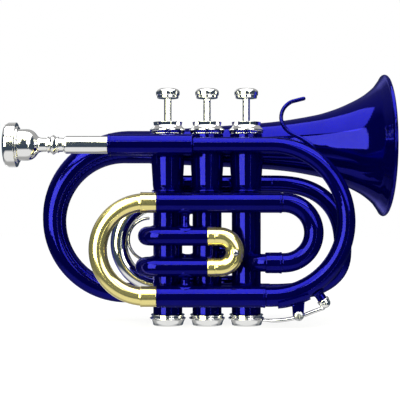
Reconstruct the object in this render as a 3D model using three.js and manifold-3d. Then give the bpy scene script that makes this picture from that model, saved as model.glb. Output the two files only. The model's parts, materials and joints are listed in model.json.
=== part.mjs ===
// Pocket trumpet with three piston valves, in millimetres, +Z up.
// +X points the way the bell faces and -Y is the side of the leadpipe.
// The origin is the middle of the second valve's bottom cap, on its flat underside.
import * as THREE from "three";
import { mergeVertices } from "three/addons/utils/BufferGeometryUtils.js";
import Module from "manifold-3d";

const wasm = await Module();
wasm.setup();

// Fits
const fitGap = 0.3;
const slideGap = 0.3;
const overrun = 2;
const samePlace = 1e-4;

// Roundness of the turned and bent pieces
const tubeSides = 12;
const smallSides = 10;
const turnedSides = 18;
const bellSides = 26;
const springSides = 4;
const wireSides = 6;
const bendStep = Math.PI / 8;

// Valve casings, from the bore outwards and from the foot upwards
const casingBore = 8.8;
const casingWall = 0.5;
const casingRadius = casingBore + casingWall;
const seatStep = 0.35;
const casingSeatRadius = casingRadius + seatStep;
const barrelStep = 0.75;
const barrelRadius = casingSeatRadius + barrelStep;
const barrelBoreStep = 0.4;
const barrelBore = casingBore + barrelBoreStep;
const casingBottom = 7.4;
const seatHeight = 86.4;
const seatLength = 8.3;
const barrelStart = seatHeight + seatLength;
const barrelTaperLength = 4.5;
const barrelFull = barrelStart + barrelTaperLength;
const barrelLength = 22.7;
const casingTop = barrelFull + barrelLength;

// Valve caps and the spacing of the valves, which their caps set
const capOverhang = 1.1;
const capRadius = barrelRadius + capOverhang;
const capSpacing = 2.1;
const valveSpacing = 2 * capRadius + capSpacing;
const topCapKnurlStep = 0.5;
const topCapKnurlHeight = 2;
const topCapFlare = 0.7;
const topCapNeckRadius = 8.6;
const topCapLipRadius = 9.2;
const topCapLip = 1.2;
const topCapHeight = 8.3;
const bottomCapCollarStep = 0.75;
const bottomCapFootStep = 1.8;
const bottomCapFlangeHeight = 3.8;
const bottomCapShoulder = 0.9;
const bottomCapFloor = 2.2;

// Pistons, stems and finger buttons
const valveStroke = 14;
const pistonRadius = casingBore - slideGap;
const pistonFootClearance = 1.4;
const pistonBottom = bottomCapFloor + valveStroke + pistonFootClearance;
const pistonTopRise = 1.8;
const pistonTop = barrelFull + pistonTopRise;
const pistonWeb = 46;
const pistonWall = 1.4;
const pistonHeadWall = 1.7;
const pistonHeadDepth = 30;
const stemRadius = 2.37;
const buttonClearance = 0.5;
const buttonRadius = 7.6;
const buttonBaseRadius = 6.85;
const buttonBaseHeight = 1.9;
const buttonHeight = 6.7;
const buttonEdge = 1.3;
const buttonDish = 0.7;

// Valve springs, inside the hollow feet of the pistons
const springWire = 0.5;
const springClearance = 0.8;
const springRadius = pistonRadius - pistonWall - springClearance - springWire;
const springTurns = 6;
const springStepsPerTurn = 7;

// Mouthpiece
const rimRadius = 13.9;
const rimEdge = 1.8;
const rimLength = 7.6;
const rimFlangeRadius = 11.4;
const rimFlangeLength = 1.2;
const cupMouthRadius = 8.4;
const cupDepth = 11.5;
const cupRadius = 9.8;
const cupLength = 7.3;
const cupTaperLength = 4.6;
const throatRadius = 1.9;
const neckRadius = 4.45;
const neckLength = 16.4;
const beadRadius = 6;
const beadLength = 4.8;
const beadPlaceShare = 0.57;
const shankRadius = 5.5;
const shankShown = 27.2;
const plugLength = 22;
const plugRadius = 4.6;
const plugTaper = 0.4;

// Receiver and leadpipe
const receiverEnd = -9.1;
const receiverLength = 52.5;
const receiverStart = receiverEnd - receiverLength;
const receiverRadius = 6.78;
const receiverLipRadius = 7.1;
const receiverLipLength = 1.7;
const leadpipeRadius = 4.95;
const leadpipeWall = 0.85;
const leadpipeBore = leadpipeRadius - leadpipeWall;

// Plane of the near tubes, which the receiver keeps clear of the casings
const nearClearance = 0.42;
const nearPlane = -(barrelRadius + receiverRadius + nearClearance);

// Heights of the near tubes: shares are of the drop from the leadpipe to the lower sleeve
const receiverDrop = 7.6;
const blowingHeight = casingTop - receiverDrop;
const lowerLine = 19.9;
const upperLineShare = 0.6197;
const firstUpperLineShare = 0.3967;
const entryLineShare = 0.2225;
const firstLowerLineShare = 0.1923;
const nearLine = (share) => lowerLine + (blowingHeight - lowerLine) * share;
const upperLine = nearLine(upperLineShare);
const firstUpperLine = nearLine(firstUpperLineShare);
const entryLine = nearLine(entryLineShare);
const firstLowerLine = nearLine(firstLowerLineShare);

// Large bow of the leadpipe and the two slide sleeves that it feeds
const nearBowX = 39.4;
const nearBowRun = 3.4;
const nearBowSideRadius = 5.6;
const nearBowEndRadius = 6.4;
const entryBowStep = 8.2;
const entryBowX = nearBowX + entryBowStep;
const entryBowRun = 1.3;
const sleeveStart = -31.4;
const lowerSleeveRadius = 6.7;
const lowerSleeveEnd = nearBowX - nearBowRun;
const upperSleeveRadius = 6.25;
const upperSleeveEnd = entryBowX - entryBowRun;
const sleeveWall = 0.6;

// Tuning slide
const tuningBowRun = 7.5;
const tuningBowX = sleeveStart - tuningBowRun;
const tuningBowRadius = 5.75;
const tuningFerruleRadius = 6.45;
const tuningFerruleLength = 9.8;
const tuningLegLength = 42;
const tubeWall = 0.7;

// Entry bow, and the elbow into the third valve
const entryBowRadius = 6.1;
const entryFerruleRadius = 6.5;
const entryStubRadius = 5.6;
const entryBendClearance = 0.6;
const entryBend = entryStubRadius + entryBendClearance;
const entryStep = 6.9;
const entryCornerX = valveSpacing + entryStep;
const entryReach = entryBend * Math.tan(Math.atan2(-nearPlane, entryStep) / 2);
const entryRun = 0.2;
const entryStubStart = entryCornerX + entryReach + entryRun;

// First valve slide, whose crook ends short of the third valve's axis
const firstSleeveRadius = 5.9;
const firstUpperTurn = 3.9;
const firstLowerTurn = 5.5;
const firstFerruleLength = 5.1;
const firstBowRun = 2.3;
const firstBowRadius = 5.7;
const firstBend = (firstUpperLine - firstLowerLine) / 2;
const firstCrookShort = 2.15;
const firstBowX = valveSpacing - firstCrookShort - firstBowRadius - firstBend;
const firstSleeveEnd = firstBowX - firstBowRun - firstFerruleLength - fitGap;
const firstLegLength = 20;
const knobRadius = 1.85;
const knobHeight = 2.6;
const knobNeckRadius = 1.1;
const knobNeckHeight = 1.2;

// Exit tube
const exitRadius = 5.4;
const exitRise = 4.2;
const exitLine = seatHeight + exitRise;
const exitClearance = 1.45;
const exitPlane = casingSeatRadius + exitRadius + exitClearance;
const exitBendClearance = 2.5;
const exitBend = exitRadius + exitBendClearance;

// Third valve slide
const thirdSleeveRadius = 5.85;
const thirdLineClearance = 0.35;
const thirdUpperLine = exitLine - exitRadius - thirdSleeveRadius - thirdLineClearance;
const thirdLowerLine = 24.6;
const thirdClearance = 0.45;
const thirdPlane = casingRadius + thirdSleeveRadius + thirdClearance;
const thirdSleeveStart = -27.5;
const thirdKnuckleClearance = 1.15;
const thirdKnuckleBend = thirdSleeveRadius + thirdKnuckleClearance;
const thirdFerruleLength = 2.6;
const thirdBowX = thirdSleeveStart - fitGap - thirdFerruleLength;
const thirdBowRadius = 5.6;
const thirdLegLength = 34;
const thirdBend = (thirdUpperLine - thirdLowerLine) / 2;
const ringShare = 0.639;
const ringRise = 2.4;
const ringSeat = 0.4;
const ringWire = 1;
const ringStartAngle = Math.PI / 2;
const ringSweep = Math.PI * 1.1;

// Second valve slide: shares are of the height between the third slide's tubes
const secondUpperLineShare = 0.6507;
const secondLowerLineShare = 0.375;
const secondUpperLine = thirdLowerLine + 2 * thirdBend * secondUpperLineShare;
const secondLowerLine = thirdLowerLine + 2 * thirdBend * secondLowerLineShare;
const secondSleeveRadius = 5;
const secondSleeveShown = 13.7;
const secondSleeveEnd = casingRadius + secondSleeveShown;
const secondLegShort = 2.7;
const secondLegLength = secondSleeveShown - secondLegShort;
const secondFerruleLength = 3;
const secondBowRadius = 4.7;

// Return tube and bell bow, behind the third slide
const returnLine = 18.2;
const bellBowX = -52.5;
const bellBowStartRadius = 6.1;
const bellBowLowRadius = 6.6;
const bellBowSideRadius = 7.7;
const returnClearance = 1.06;
const returnReach = thirdSleeveRadius + bellBowLowRadius + returnClearance;
const returnPlane = thirdPlane + Math.sqrt(returnReach ** 2 - (thirdLowerLine - returnLine) ** 2);

// Far bow, half of an oval from the exit tube to the return tube. A fullness below 1 squares it
const farBowX = 42.4;
const farBowWidth = 47.6;
const farBowMiddleShare = 0.384;
const farBowMiddle = returnLine + (exitLine - returnLine) * farBowMiddleShare;
const farBowFullness = 0.8;
const farBowEndRadius = 5.9;
const farBowSteps = 11;

// Bell
const bellStem = 16.5;
const bellStart = bellBowX + bellStem;
const bellStartRadius = 10.5;
const bellThroatX = 40;
const bellThroatRadius = 15.6;
const bellMouthX = 118.8;
const bellMouthRadius = 47.4;
const bellWall = 0.9;
const rimBead = 1.1;
const flareLengthShares = [0.165, 0.287, 0.392, 0.477, 0.608, 0.713, 0.835, 0.931, 0.974, 1];
const flareRadiusShares = [0.044, 0.091, 0.14, 0.188, 0.296, 0.41, 0.575, 0.769, 0.908, 1];

// The outer radius of the bell's straight tube at a place along it
function bellRadiusAt(x) {
  return THREE.MathUtils.mapLinear(x, bellStart, bellThroatX, bellStartRadius, bellThroatRadius);
}

// Height and plane of the bell's axis, which keeps the bell clear of the third valve's cap
const bellDrop = 5.7;
const bellLine = casingTop - bellDrop;
const bellClearance = 0.4;
const bellPlane = capRadius + bellRadiusAt(valveSpacing) + bellClearance;

// Tubes between the valves
const portRadius = 5.2;
const port12Height = 40.3;
const port23Height = 46.7;

// Braces
const braceX = -valveSpacing / 2;
const braceFootRadius = 5.4;
const braceRadius = 2.3;
const braceFootHeight = 1.1;
const bellBraceDrop = 8.2;
const bellBraceHeight = bellLine - bellBraceDrop;
const bellBraceRadius = 2.4;
const bellBraceFootRadius = 4.6;
const bellBraceFootHeight = 1.2;

// Finger hook
const hookWire = 1.25;
const hookStep = 26.6;
const hookWidth = 20;
const hookHeight = 29.5;
const hookSteps = 16;
const hookAlongShares = [0, -0.4, -0.72, -0.9, -1, -0.93, -0.72, -0.5, -0.22];
const hookUpShares = [0, 0.2, 0.3, 0.42, 0.6, 0.8, 0.94, 0.985, 1.04];

// Water key, placed from the large bow's centre line
const nippleAngle = (-56.6 / 180) * Math.PI;
const nippleRadius = 3;
const nippleBore = 1.6;
const nippleReach = 5;
const padThickness = 2;
const cupWall = 0.8;
const cupStep = 0.9;
const cupOuterRadius = nippleRadius + cupStep;
const keyPivotStep = 17.2;
const keyPivotDrop = 14.95;
const keyPivotRadius = 1;
const keyBarrelRadius = 2.2;
const keyBarrelLength = 4.4;
const keyArmWidth = 3.4;
const keyArmThickness = 1.5;
const keyTouchReach = 22.3;
const keyTouchDrop = 2.8;
const keyTouchRadius = 1.1;
const keyTouchWidth = 5;
const earThickness = 1.1;
const earGap = 0.35;
const earRadius = 3.1;
const bracketFootWidth = 8.6;
const bracketFootThickness = 1.4;
const screwHeadRadius = 2.8;
const screwHeadHeight = 1.2;

// Colours
const lacquerColour = 0x07077a;
const silverColour = 0xd9dade;
const goldColour = 0xd9bd62;
const steelColour = 0xa8abb0;
const corkColour = 0xb98c5a;

// A closed solid from a geometry, with only its positions kept and shared.
function solidFrom(geometry) {
  const bare = new THREE.BufferGeometry();
  const loose = geometry.index ? geometry.toNonIndexed() : geometry;
  bare.setAttribute("position", loose.getAttribute("position"));
  const merged = mergeVertices(bare, samePlace);
  return new wasm.Manifold(
    new wasm.Mesh({
      numProp: 3,
      vertProperties: new Float32Array(merged.attributes.position.array),
      triVerts: new Uint32Array(merged.index.array),
    }),
  );
}

// A geometry from a closed solid.
function geometryFrom(solid) {
  const mesh = solid.getMesh();
  const geometry = new THREE.BufferGeometry();
  geometry.setAttribute("position", new THREE.BufferAttribute(mesh.vertProperties, 3));
  geometry.setIndex(new THREE.BufferAttribute(mesh.triVerts, 1));
  return geometry;
}

// Twice the area that an outline goes round, positive when it runs anticlockwise.
function turning(outline) {
  return outline.reduce((sum, [x, y], i) => {
    const [nextX, nextY] = outline[(i + 1) % outline.length];
    return sum + x * nextY - nextX * y;
  }, 0);
}

// A piece turned about +Z from [radius, height] points that go once round its section.
function turned(outline, sides = turnedSides) {
  const ordered = turning(outline) < 0 ? [...outline].reverse() : outline;
  const onAxis = ordered.findIndex(([radius], i) => {
    const next = ordered[(i + 1) % ordered.length];
    return radius === 0 && next[0] === 0;
  });
  const start = onAxis < 0 ? 0 : onAxis + 1;
  const profile = ordered.map((_, i) => ordered[(start + i) % ordered.length]);
  if (onAxis < 0) profile.push(profile[0]);
  const geometry = new THREE.LatheGeometry(
    profile.map(([radius, height]) => new THREE.Vector2(radius, height)),
    sides,
  );
  return geometry.rotateX(Math.PI / 2);
}

// A round bar or a disc about +Z.
function bar(radius, low, high, sides = turnedSides) {
  return turned([[0, low], [radius, low], [radius, high], [0, high]], sides);
}

// A length of straight pipe about +Z.
function pipe(radius, bore, low, high, sides = tubeSides) {
  return turned([[bore, low], [radius, low], [radius, high], [bore, high]], sides);
}

// A part of a circle in space, from an edge point, its centre and the sweep about an axis.
class Arc extends THREE.Curve {
  constructor(centre, from, axis, sweep) {
    super();
    this.centre = centre;
    this.from = from;
    this.axis = axis;
    this.sweep = sweep;
  }
  getPoint(t, target = new THREE.Vector3()) {
    target.copy(this.from).sub(this.centre);
    return target.applyAxisAngle(this.axis, this.sweep * t).add(this.centre);
  }
}

// A route of straight runs whose corners are rounded: corners are [x, y, z, radius].
function route(corners) {
  const points = corners.map(([x, y, z]) => new THREE.Vector3(x, y, z));
  const pieces = [];
  let from = points[0];
  for (let i = 1; i < points.length - 1; i++) {
    const before = points[i].clone().sub(points[i - 1]).normalize();
    const after = points[i + 1].clone().sub(points[i]).normalize();
    const sweep = before.angleTo(after);
    const radius = corners[i][3];
    const reach = radius * Math.tan(sweep / 2);
    const begin = points[i].clone().addScaledVector(before, -reach);
    const end = points[i].clone().addScaledVector(after, reach);
    const axis = before.clone().cross(after).normalize();
    const inward = axis.clone().cross(before);
    const centre = begin.clone().addScaledVector(inward, radius);
    if (begin.distanceTo(from) > samePlace) pieces.push(new THREE.LineCurve3(from, begin));
    pieces.push(new Arc(centre, begin, axis, sweep));
    from = end;
  }
  const last = points[points.length - 1];
  if (last.distanceTo(from) > samePlace) pieces.push(new THREE.LineCurve3(from, last));
  return pieces;
}

// Stations along a list of curves: a place, a heading and the length travelled at each.
function stationsOf(pieces) {
  const stations = [];
  let travelled = 0;
  pieces.forEach((piece, index) => {
    const length = piece.getLength();
    const steps = piece.isLineCurve3 ? 1 : Math.max(2, Math.ceil(piece.sweep / bendStep));
    for (let i = index === 0 ? 0 : 1; i <= steps; i++) {
      const t = i / steps;
      stations.push({
        place: piece.getPoint(t),
        heading: piece.getTangent(t),
        along: travelled + length * t,
      });
    }
    travelled += length;
  });
  return stations;
}

// Stations at even steps along one curve.
function evenStations(curve, steps) {
  const length = curve.getLength();
  return Array.from({ length: steps + 1 }, (_, i) => ({
    place: curve.getPointAt(i / steps),
    heading: curve.getTangentAt(i / steps),
    along: (length * i) / steps,
  }));
}

// Stations given a side direction each, carried along the bends without twist.
function withFrames(stations) {
  let side = new THREE.Vector3(0, 1, 0);
  if (Math.abs(stations[0].heading.y) > 0.9) side.set(1, 0, 0);
  return stations.map((station) => {
    const heading = station.heading.clone().normalize();
    side = side.clone().addScaledVector(heading, -side.dot(heading)).normalize();
    return { ...station, side, other: heading.clone().cross(side) };
  });
}

// A turned piece whose section runs along a bent route, with a radius for each length travelled.
function bent(stations, outer, bore, sides = tubeSides) {
  const framed = withFrames(stations);
  const total = framed[framed.length - 1].along;
  const radii = (radius) => framed.map(({ along }, i) => radius(along / total, along, i));
  const outerRadii = radii(outer);
  const outline = outerRadii.map((radius, i) => [radius, i]);
  if (bore) radii(bore).forEach((radius, i) => outline.splice(outerRadii.length, 0, [radius, i]));
  else outline.push([0, framed.length - 1], [0, 0]);
  const geometry = turned(outline, sides);
  const positions = geometry.getAttribute("position");
  for (let i = 0; i < positions.count; i++) {
    const { place, side, other } = framed[Math.round(positions.getZ(i))];
    const point = place.clone();
    point.addScaledVector(side, positions.getX(i)).addScaledVector(other, positions.getY(i));
    positions.setXYZ(i, point.x, point.y, point.z);
  }
  return geometry;
}

// A radius that runs evenly through a list of values.
function through(...values) {
  return (share) => {
    const place = share * (values.length - 1);
    const index = Math.min(Math.floor(place), values.length - 2);
    return THREE.MathUtils.lerp(values[index], values[index + 1], place - index);
  };
}

// Bent pipe of even wall.
function bentPipe(corners, outer, wall, sides = tubeSides) {
  return bent(stationsOf(route(corners)), outer, (share) => outer(share) - wall, sides);
}

// A slide crook in one piece: inner leg, ferrule, bow, ferrule and inner leg.
function crook(corners, legLength, ferruleLength, legRadius, ferruleRadius, bowRadius, wall) {
  const stations = stationsOf(route(corners));
  const total = stations[stations.length - 1].along;
  const at = (along, radius) => ({ along, radius });
  const steps = [
    at(legLength, legRadius),
    at(legLength, ferruleRadius),
    at(legLength + ferruleLength, ferruleRadius),
    at(legLength + ferruleLength, bowRadius),
  ];
  const mirrored = steps.map(({ along, radius }) => at(total - along, radius)).reverse();
  const marks = [...steps, ...mirrored];
  const first = stations[0];
  const last = stations[stations.length - 1];
  const placed = marks.map(({ along, radius }) => {
    const end = along < total / 2 ? first : last;
    const place = end.place.clone().addScaledVector(end.heading, along - end.along);
    return { place, heading: end.heading, along, radius };
  });
  const bends = stations.slice(1, -1).filter(({ along }) => {
    return along > legLength + ferruleLength && along < total - legLength - ferruleLength;
  });
  const half = placed.length / 2;
  const all = [
    { ...first, radius: legRadius },
    ...placed.slice(0, half),
    ...bends.map((station) => ({ ...station, radius: bowRadius })),
    ...placed.slice(half),
    { ...last, radius: legRadius },
  ];
  return bent(all, (_, along, i) => all[i].radius, () => legRadius - wall);
}

// The space that a bent tube takes, with its fit gap.
function tubeSpace(corners, outer) {
  const stations = stationsOf(route(corners));
  return solidFrom(bent(stations, (share) => outer(share) + fitGap, null));
}

// The space that a valve casing takes, with its fit gap, in a group whose plane is at planeY.
function casingSpace(valveX, planeY) {
  const space = turned([
    [0, -overrun],
    [casingRadius + fitGap, -overrun],
    [casingRadius + fitGap, seatHeight - fitGap],
    [casingSeatRadius + fitGap, seatHeight - fitGap],
    [casingSeatRadius + fitGap, barrelStart - fitGap],
    [barrelRadius + fitGap, barrelFull - fitGap],
    [barrelRadius + fitGap, casingTop + overrun],
    [0, casingTop + overrun],
  ]);
  return solidFrom(space.translate(valveX, -planeY, 0));
}

function cut(geometry, ...solids) {
  return geometryFrom(solids.reduce((left, solid) => left.subtract(solid), solidFrom(geometry)));
}

function join(...geometries) {
  return geometries.map(solidFrom).reduce((sum, solid) => sum.add(solid));
}

function finish(colour, metalness, roughness) {
  return new THREE.MeshStandardMaterial({ color: colour, metalness, roughness });
}

const lacquer = () => finish(lacquerColour, 0.6, 0.12);
const silver = () => finish(silverColour, 1, 0.08);
const gold = () => finish(goldColour, 1, 0.16);
const steel = () => finish(steelColour, 1, 0.3);
const cork = () => finish(corkColour, 0, 0.8);

function piece(name, geometry, material) {
  const mesh = new THREE.Mesh(geometry, material);
  mesh.name = name;
  return mesh;
}

function group(x, y, z, ...children) {
  const holder = new THREE.Group();
  holder.position.set(x, y, z);
  holder.add(...children);
  return holder;
}

// A geometry turned about +Z, laid along +X or +Y.
const alongX = (geometry) => geometry.rotateY(Math.PI / 2);
const alongY = (geometry) => geometry.rotateX(-Math.PI / 2);

// Valves
function valveCasing() {
  return turned([
    [casingBore, casingBottom],
    [casingRadius, casingBottom],
    [casingRadius, seatHeight],
    [casingSeatRadius, seatHeight],
    [casingSeatRadius, barrelStart],
    [barrelRadius, barrelFull],
    [barrelRadius, casingTop],
    [barrelBore, casingTop],
    [barrelBore, barrelFull],
    [casingBore, barrelFull],
  ]);
}

function topCap() {
  const base = casingTop + fitGap;
  const flareTop = base + topCapKnurlHeight + topCapFlare;
  const knurlRadius = capRadius - topCapKnurlStep;
  return turned([
    [stemRadius + slideGap, base],
    [knurlRadius, base],
    [knurlRadius, base + topCapKnurlHeight],
    [capRadius, base + topCapKnurlHeight],
    [capRadius, flareTop],
    [topCapNeckRadius, (flareTop + base + topCapHeight) / 2],
    [topCapLipRadius, base + topCapHeight - topCapLip],
    [topCapLipRadius, base + topCapHeight],
    [stemRadius + slideGap, base + topCapHeight],
  ]);
}

function bottomCap() {
  const top = casingBottom - fitGap;
  const collarRadius = capRadius - bottomCapCollarStep;
  return turned([
    [0, 0],
    [capRadius - bottomCapFootStep, 0],
    [capRadius, bottomCapFlangeHeight],
    [collarRadius, bottomCapFlangeHeight + bottomCapShoulder],
    [collarRadius, top],
    [casingBore, top],
    [casingBore, bottomCapFloor],
    [0, bottomCapFloor],
  ]);
}

function piston() {
  return turned([
    [0, pistonWeb],
    [pistonRadius - pistonWall, pistonWeb],
    [pistonRadius - pistonWall, pistonBottom],
    [pistonRadius, pistonBottom],
    [pistonRadius, pistonTop],
    [pistonRadius - pistonHeadWall, pistonTop],
    [pistonRadius - pistonHeadWall, pistonTop - pistonHeadDepth],
    [0, pistonTop - pistonHeadDepth],
  ]);
}

const stemBottom = pistonTop - pistonHeadDepth + fitGap;
const capTop = casingTop + fitGap + topCapHeight;
const buttonBottom = capTop + valveStroke + buttonClearance;

function stem() {
  return bar(stemRadius, stemBottom, buttonBottom - fitGap, smallSides);
}

function fingerButton() {
  const top = buttonBottom + buttonHeight;
  return turned([
    [0, buttonBottom],
    [buttonBaseRadius, buttonBottom],
    [buttonBaseRadius, buttonBottom + buttonBaseHeight],
    [buttonRadius, buttonBottom + buttonBaseHeight],
    [buttonRadius, top - buttonEdge],
    [buttonRadius - buttonEdge, top],
    [0, top - buttonDish],
  ]);
}

// A coil about +Z from a low to a high end.
class Coil extends THREE.Curve {
  constructor(radius, low, high, turns) {
    super();
    Object.assign(this, { radius, low, high, turns });
  }
  getPoint(t, target = new THREE.Vector3()) {
    const angle = t * this.turns * 2 * Math.PI;
    const height = THREE.MathUtils.lerp(this.low, this.high, t);
    return target.set(this.radius * Math.cos(angle), this.radius * Math.sin(angle), height);
  }
}

function valveSpring() {
  const low = bottomCapFloor + fitGap + springWire;
  const high = pistonWeb - fitGap - springWire;
  const coil = new Coil(springRadius, low, high, springTurns);
  const steps = springTurns * springStepsPerTurn;
  return bent(evenStations(coil, steps), () => springWire, null, springSides);
}

function valve(index) {
  const number = index + 1;
  return group((index - 1) * valveSpacing, 0, 0,
    piece(`valve_casing_${number}`, valveCasing(), lacquer()),
    piece(`top_cap_${number}`, topCap(), silver()),
    piece(`bottom_cap_${number}`, bottomCap(), silver()),
    piece(`piston_${number}`, piston(), steel()),
    piece(`valve_stem_${number}`, stem(), silver()),
    piece(`finger_button_${number}`, fingerButton(), silver()),
    piece(`valve_spring_${number}`, valveSpring(), steel()),
  );
}

// Mouthpiece, modelled along +Z from the rim's face and laid along +X.
const shankStart = rimLength + rimFlangeLength + cupLength + cupTaperLength + neckLength;
const mouthpieceShown = shankStart + shankShown;

function mouthpiece() {
  const flangeEnd = rimLength + rimFlangeLength;
  const cupEnd = flangeEnd + cupLength;
  const neckStart = cupEnd + cupTaperLength;
  const bead = neckStart + neckLength * beadPlaceShare;
  const end = mouthpieceShown + plugLength;
  return turned([
    [cupMouthRadius, 0],
    [rimRadius - rimEdge, 0],
    [rimRadius, rimEdge],
    [rimRadius, rimLength],
    [rimFlangeRadius, rimLength],
    [rimFlangeRadius, flangeEnd],
    [cupRadius, flangeEnd],
    [cupRadius, cupEnd],
    [(cupRadius + neckRadius) / 2, cupEnd + cupTaperLength * 0.6],
    [neckRadius, neckStart],
    [neckRadius, bead - beadLength / 2],
    [beadRadius, bead],
    [neckRadius, bead + beadLength / 2],
    [neckRadius, shankStart],
    [shankRadius, shankStart],
    [shankRadius, mouthpieceShown - fitGap],
    [plugRadius, mouthpieceShown - fitGap],
    [plugRadius - plugTaper, end],
    [throatRadius * 1.6, end],
    [throatRadius, cupDepth + throatRadius],
    [cupMouthRadius * 0.55, cupDepth - throatRadius],
    [cupMouthRadius * 0.9, cupDepth / 2],
  ]);
}

function receiver() {
  const bore = plugRadius + slideGap;
  return turned([
    [bore, 0],
    [receiverLipRadius, 0],
    [receiverLipRadius, receiverLipLength],
    [receiverRadius, receiverLipLength],
    [receiverRadius, receiverLength],
    [leadpipeBore, receiverLength],
    [leadpipeBore, plugLength + overrun],
    [bore, plugLength + overrun],
  ]);
}

// Near side, in its own plane: leadpipe, large bow, sleeves, tuning slide and entry bow.
const nearBowBend = (blowingHeight - lowerLine) / 2;
const nearBowHeight = (blowingHeight + lowerLine) / 2;

function leadpipe() {
  return pipe(leadpipeRadius, leadpipeBore, 0, nearBowX - receiverEnd - 2 * fitGap);
}

const nearBowOuter = through(leadpipeRadius, nearBowSideRadius, nearBowEndRadius);

const nearBowCorners = [
  [nearBowX, 0, blowingHeight],
  [nearBowX + nearBowBend, 0, blowingHeight, nearBowBend],
  [nearBowX + nearBowBend, 0, lowerLine, nearBowBend],
  [lowerSleeveEnd + fitGap, 0, lowerLine],
];

function nearBow() {
  return bentPipe(nearBowCorners, nearBowOuter, tubeWall);
}

function sleeve(start, end, radius) {
  return pipe(radius, radius - sleeveWall, 0, end - start);
}

const tuningLegRadius = upperSleeveRadius - sleeveWall - slideGap;

function tuningCrook() {
  const bend = (upperLine - lowerLine) / 2;
  const left = tuningBowX - bend;
  const inside = sleeveStart + tuningLegLength;
  return crook([
    [inside, 0, upperLine],
    [left, 0, upperLine, bend],
    [left, 0, lowerLine, bend],
    [inside, 0, lowerLine],
  ], tuningLegLength + fitGap, tuningFerruleLength, tuningLegRadius, tuningFerruleRadius,
  tuningBowRadius, tubeWall);
}

function entryBow() {
  const bend = (upperLine - entryLine) / 2;
  const right = entryBowX + bend;
  return bentPipe([
    [upperSleeveEnd + fitGap, 0, upperLine],
    [right, 0, upperLine, bend],
    [right, 0, entryLine, bend],
    [upperSleeveEnd + fitGap, 0, entryLine],
  ], () => entryBowRadius, tubeWall);
}

// The ferrule and the elbow that turns into the third valve's casing.
function entryElbow() {
  const elbow = bentPipe([
    [entryStubStart, 0, entryLine],
    [entryCornerX, 0, entryLine, entryBend],
    [valveSpacing, -nearPlane, entryLine],
  ], () => entryStubRadius, tubeWall);
  const ferruleStart = entryStubStart - fitGap;
  const length = upperSleeveEnd - ferruleStart;
  const ferrule = alongX(pipe(entryFerruleRadius, entryStubRadius - tubeWall, 0, length));
  ferrule.translate(ferruleStart, 0, entryLine);
  const both = join(elbow, ferrule);
  return geometryFrom(both.subtract(casingSpace(valveSpacing, nearPlane)));
}

// First valve slide, which points the way of the bell.
function firstSleeve(line, turn) {
  const bend = -nearPlane / 2;
  const left = -valveSpacing - turn - bend;
  const geometry = bentPipe([
    [firstSleeveEnd, 0, line],
    [left, 0, line, bend],
    [left, -nearPlane, line, bend],
    [-valveSpacing, -nearPlane, line],
  ], () => firstSleeveRadius, sleeveWall);
  return cut(geometry, casingSpace(-valveSpacing, nearPlane));
}

function firstCrook() {
  const right = firstBowX + firstBend;
  const inside = firstSleeveEnd - firstLegLength;
  const legRadius = firstSleeveRadius - sleeveWall - slideGap;
  return crook([
    [inside, 0, firstUpperLine],
    [right, 0, firstUpperLine, firstBend],
    [right, 0, firstLowerLine, firstBend],
    [inside, 0, firstLowerLine],
  ], firstLegLength + fitGap, firstFerruleLength, legRadius, firstSleeveRadius,
  firstBowRadius, tubeWall);
}

function pullKnob() {
  const neckTop = firstBowRadius + fitGap + knobNeckHeight;
  return turned([
    [0, firstBowRadius + fitGap],
    [knobNeckRadius, firstBowRadius + fitGap],
    [knobNeckRadius, neckTop],
    [knobRadius, neckTop],
    [knobRadius, neckTop + knobHeight * 0.6],
    [knobRadius * 0.55, neckTop + knobHeight],
    [0, neckTop + knobHeight],
  ], smallSides);
}

// Upright braces between the near tubes, their feet shaped to the tubes.
function nearBrace(low, lowRadius, high, highRadius) {
  const bottom = low + lowRadius / 2;
  const top = high - highRadius / 2;
  const post = turned([
    [0, bottom],
    [braceFootRadius, bottom],
    [braceFootRadius, low + lowRadius + braceFootHeight],
    [braceRadius, low + lowRadius + braceFootHeight],
    [braceRadius, high - highRadius - braceFootHeight],
    [braceFootRadius, high - highRadius - braceFootHeight],
    [braceFootRadius, top],
    [0, top],
  ], tubeSides);
  const reach = 2 * braceFootRadius;
  const spaces = [[low, lowRadius], [high, highRadius]].map(([height, radius]) => {
    const space = alongX(bar(radius + fitGap, -reach, reach, tubeSides));
    return solidFrom(space.translate(0, 0, height));
  });
  return cut(post, ...spaces);
}

// Finger hook, a wire that stands on the outside of the large bow.
function fingerHook() {
  const bowShare = Math.asin(hookStep / nearBowBend) / Math.PI;
  const faceted = nearBowBend * Math.cos(bendStep / 2);
  const outside = faceted + nearBowOuter(bowShare) + fitGap + hookWire;
  const footX = nearBowX + hookStep;
  const foot = nearBowHeight + Math.sqrt(outside ** 2 - hookStep ** 2);
  const places = hookAlongShares.map((share, i) => {
    return new THREE.Vector3(footX + share * hookWidth, 0, foot + hookUpShares[i] * hookHeight);
  });
  const curve = new THREE.CatmullRomCurve3(places, false, "centripetal");
  return bent(evenStations(curve, hookSteps), () => hookWire, null, wireSides);
}

// Water key on the underside of the large bow.
const nippleStart = nearBowBend + nearBowEndRadius;
const nippleEnd = nippleStart + nippleReach;
const keyPivotX = nearBowX + keyPivotStep;
const keySeat = nearBowHeight - Math.sqrt(nearBowBend ** 2 - keyPivotStep ** 2);
const keyPivotHeight = keySeat - keyPivotDrop;

// A geometry built along +Z, set to stand out of the large bow at the nipple's angle.
function outOfBow(geometry) {
  geometry.rotateY(Math.PI / 2 - nippleAngle);
  return geometry.translate(nearBowX, 0, nearBowHeight);
}

const nearBowSpace = () => tubeSpace(nearBowCorners, nearBowOuter);

function nipple() {
  const geometry = outOfBow(pipe(nippleRadius, nippleBore, nippleStart - overrun, nippleEnd));
  return cut(geometry, nearBowSpace());
}

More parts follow.
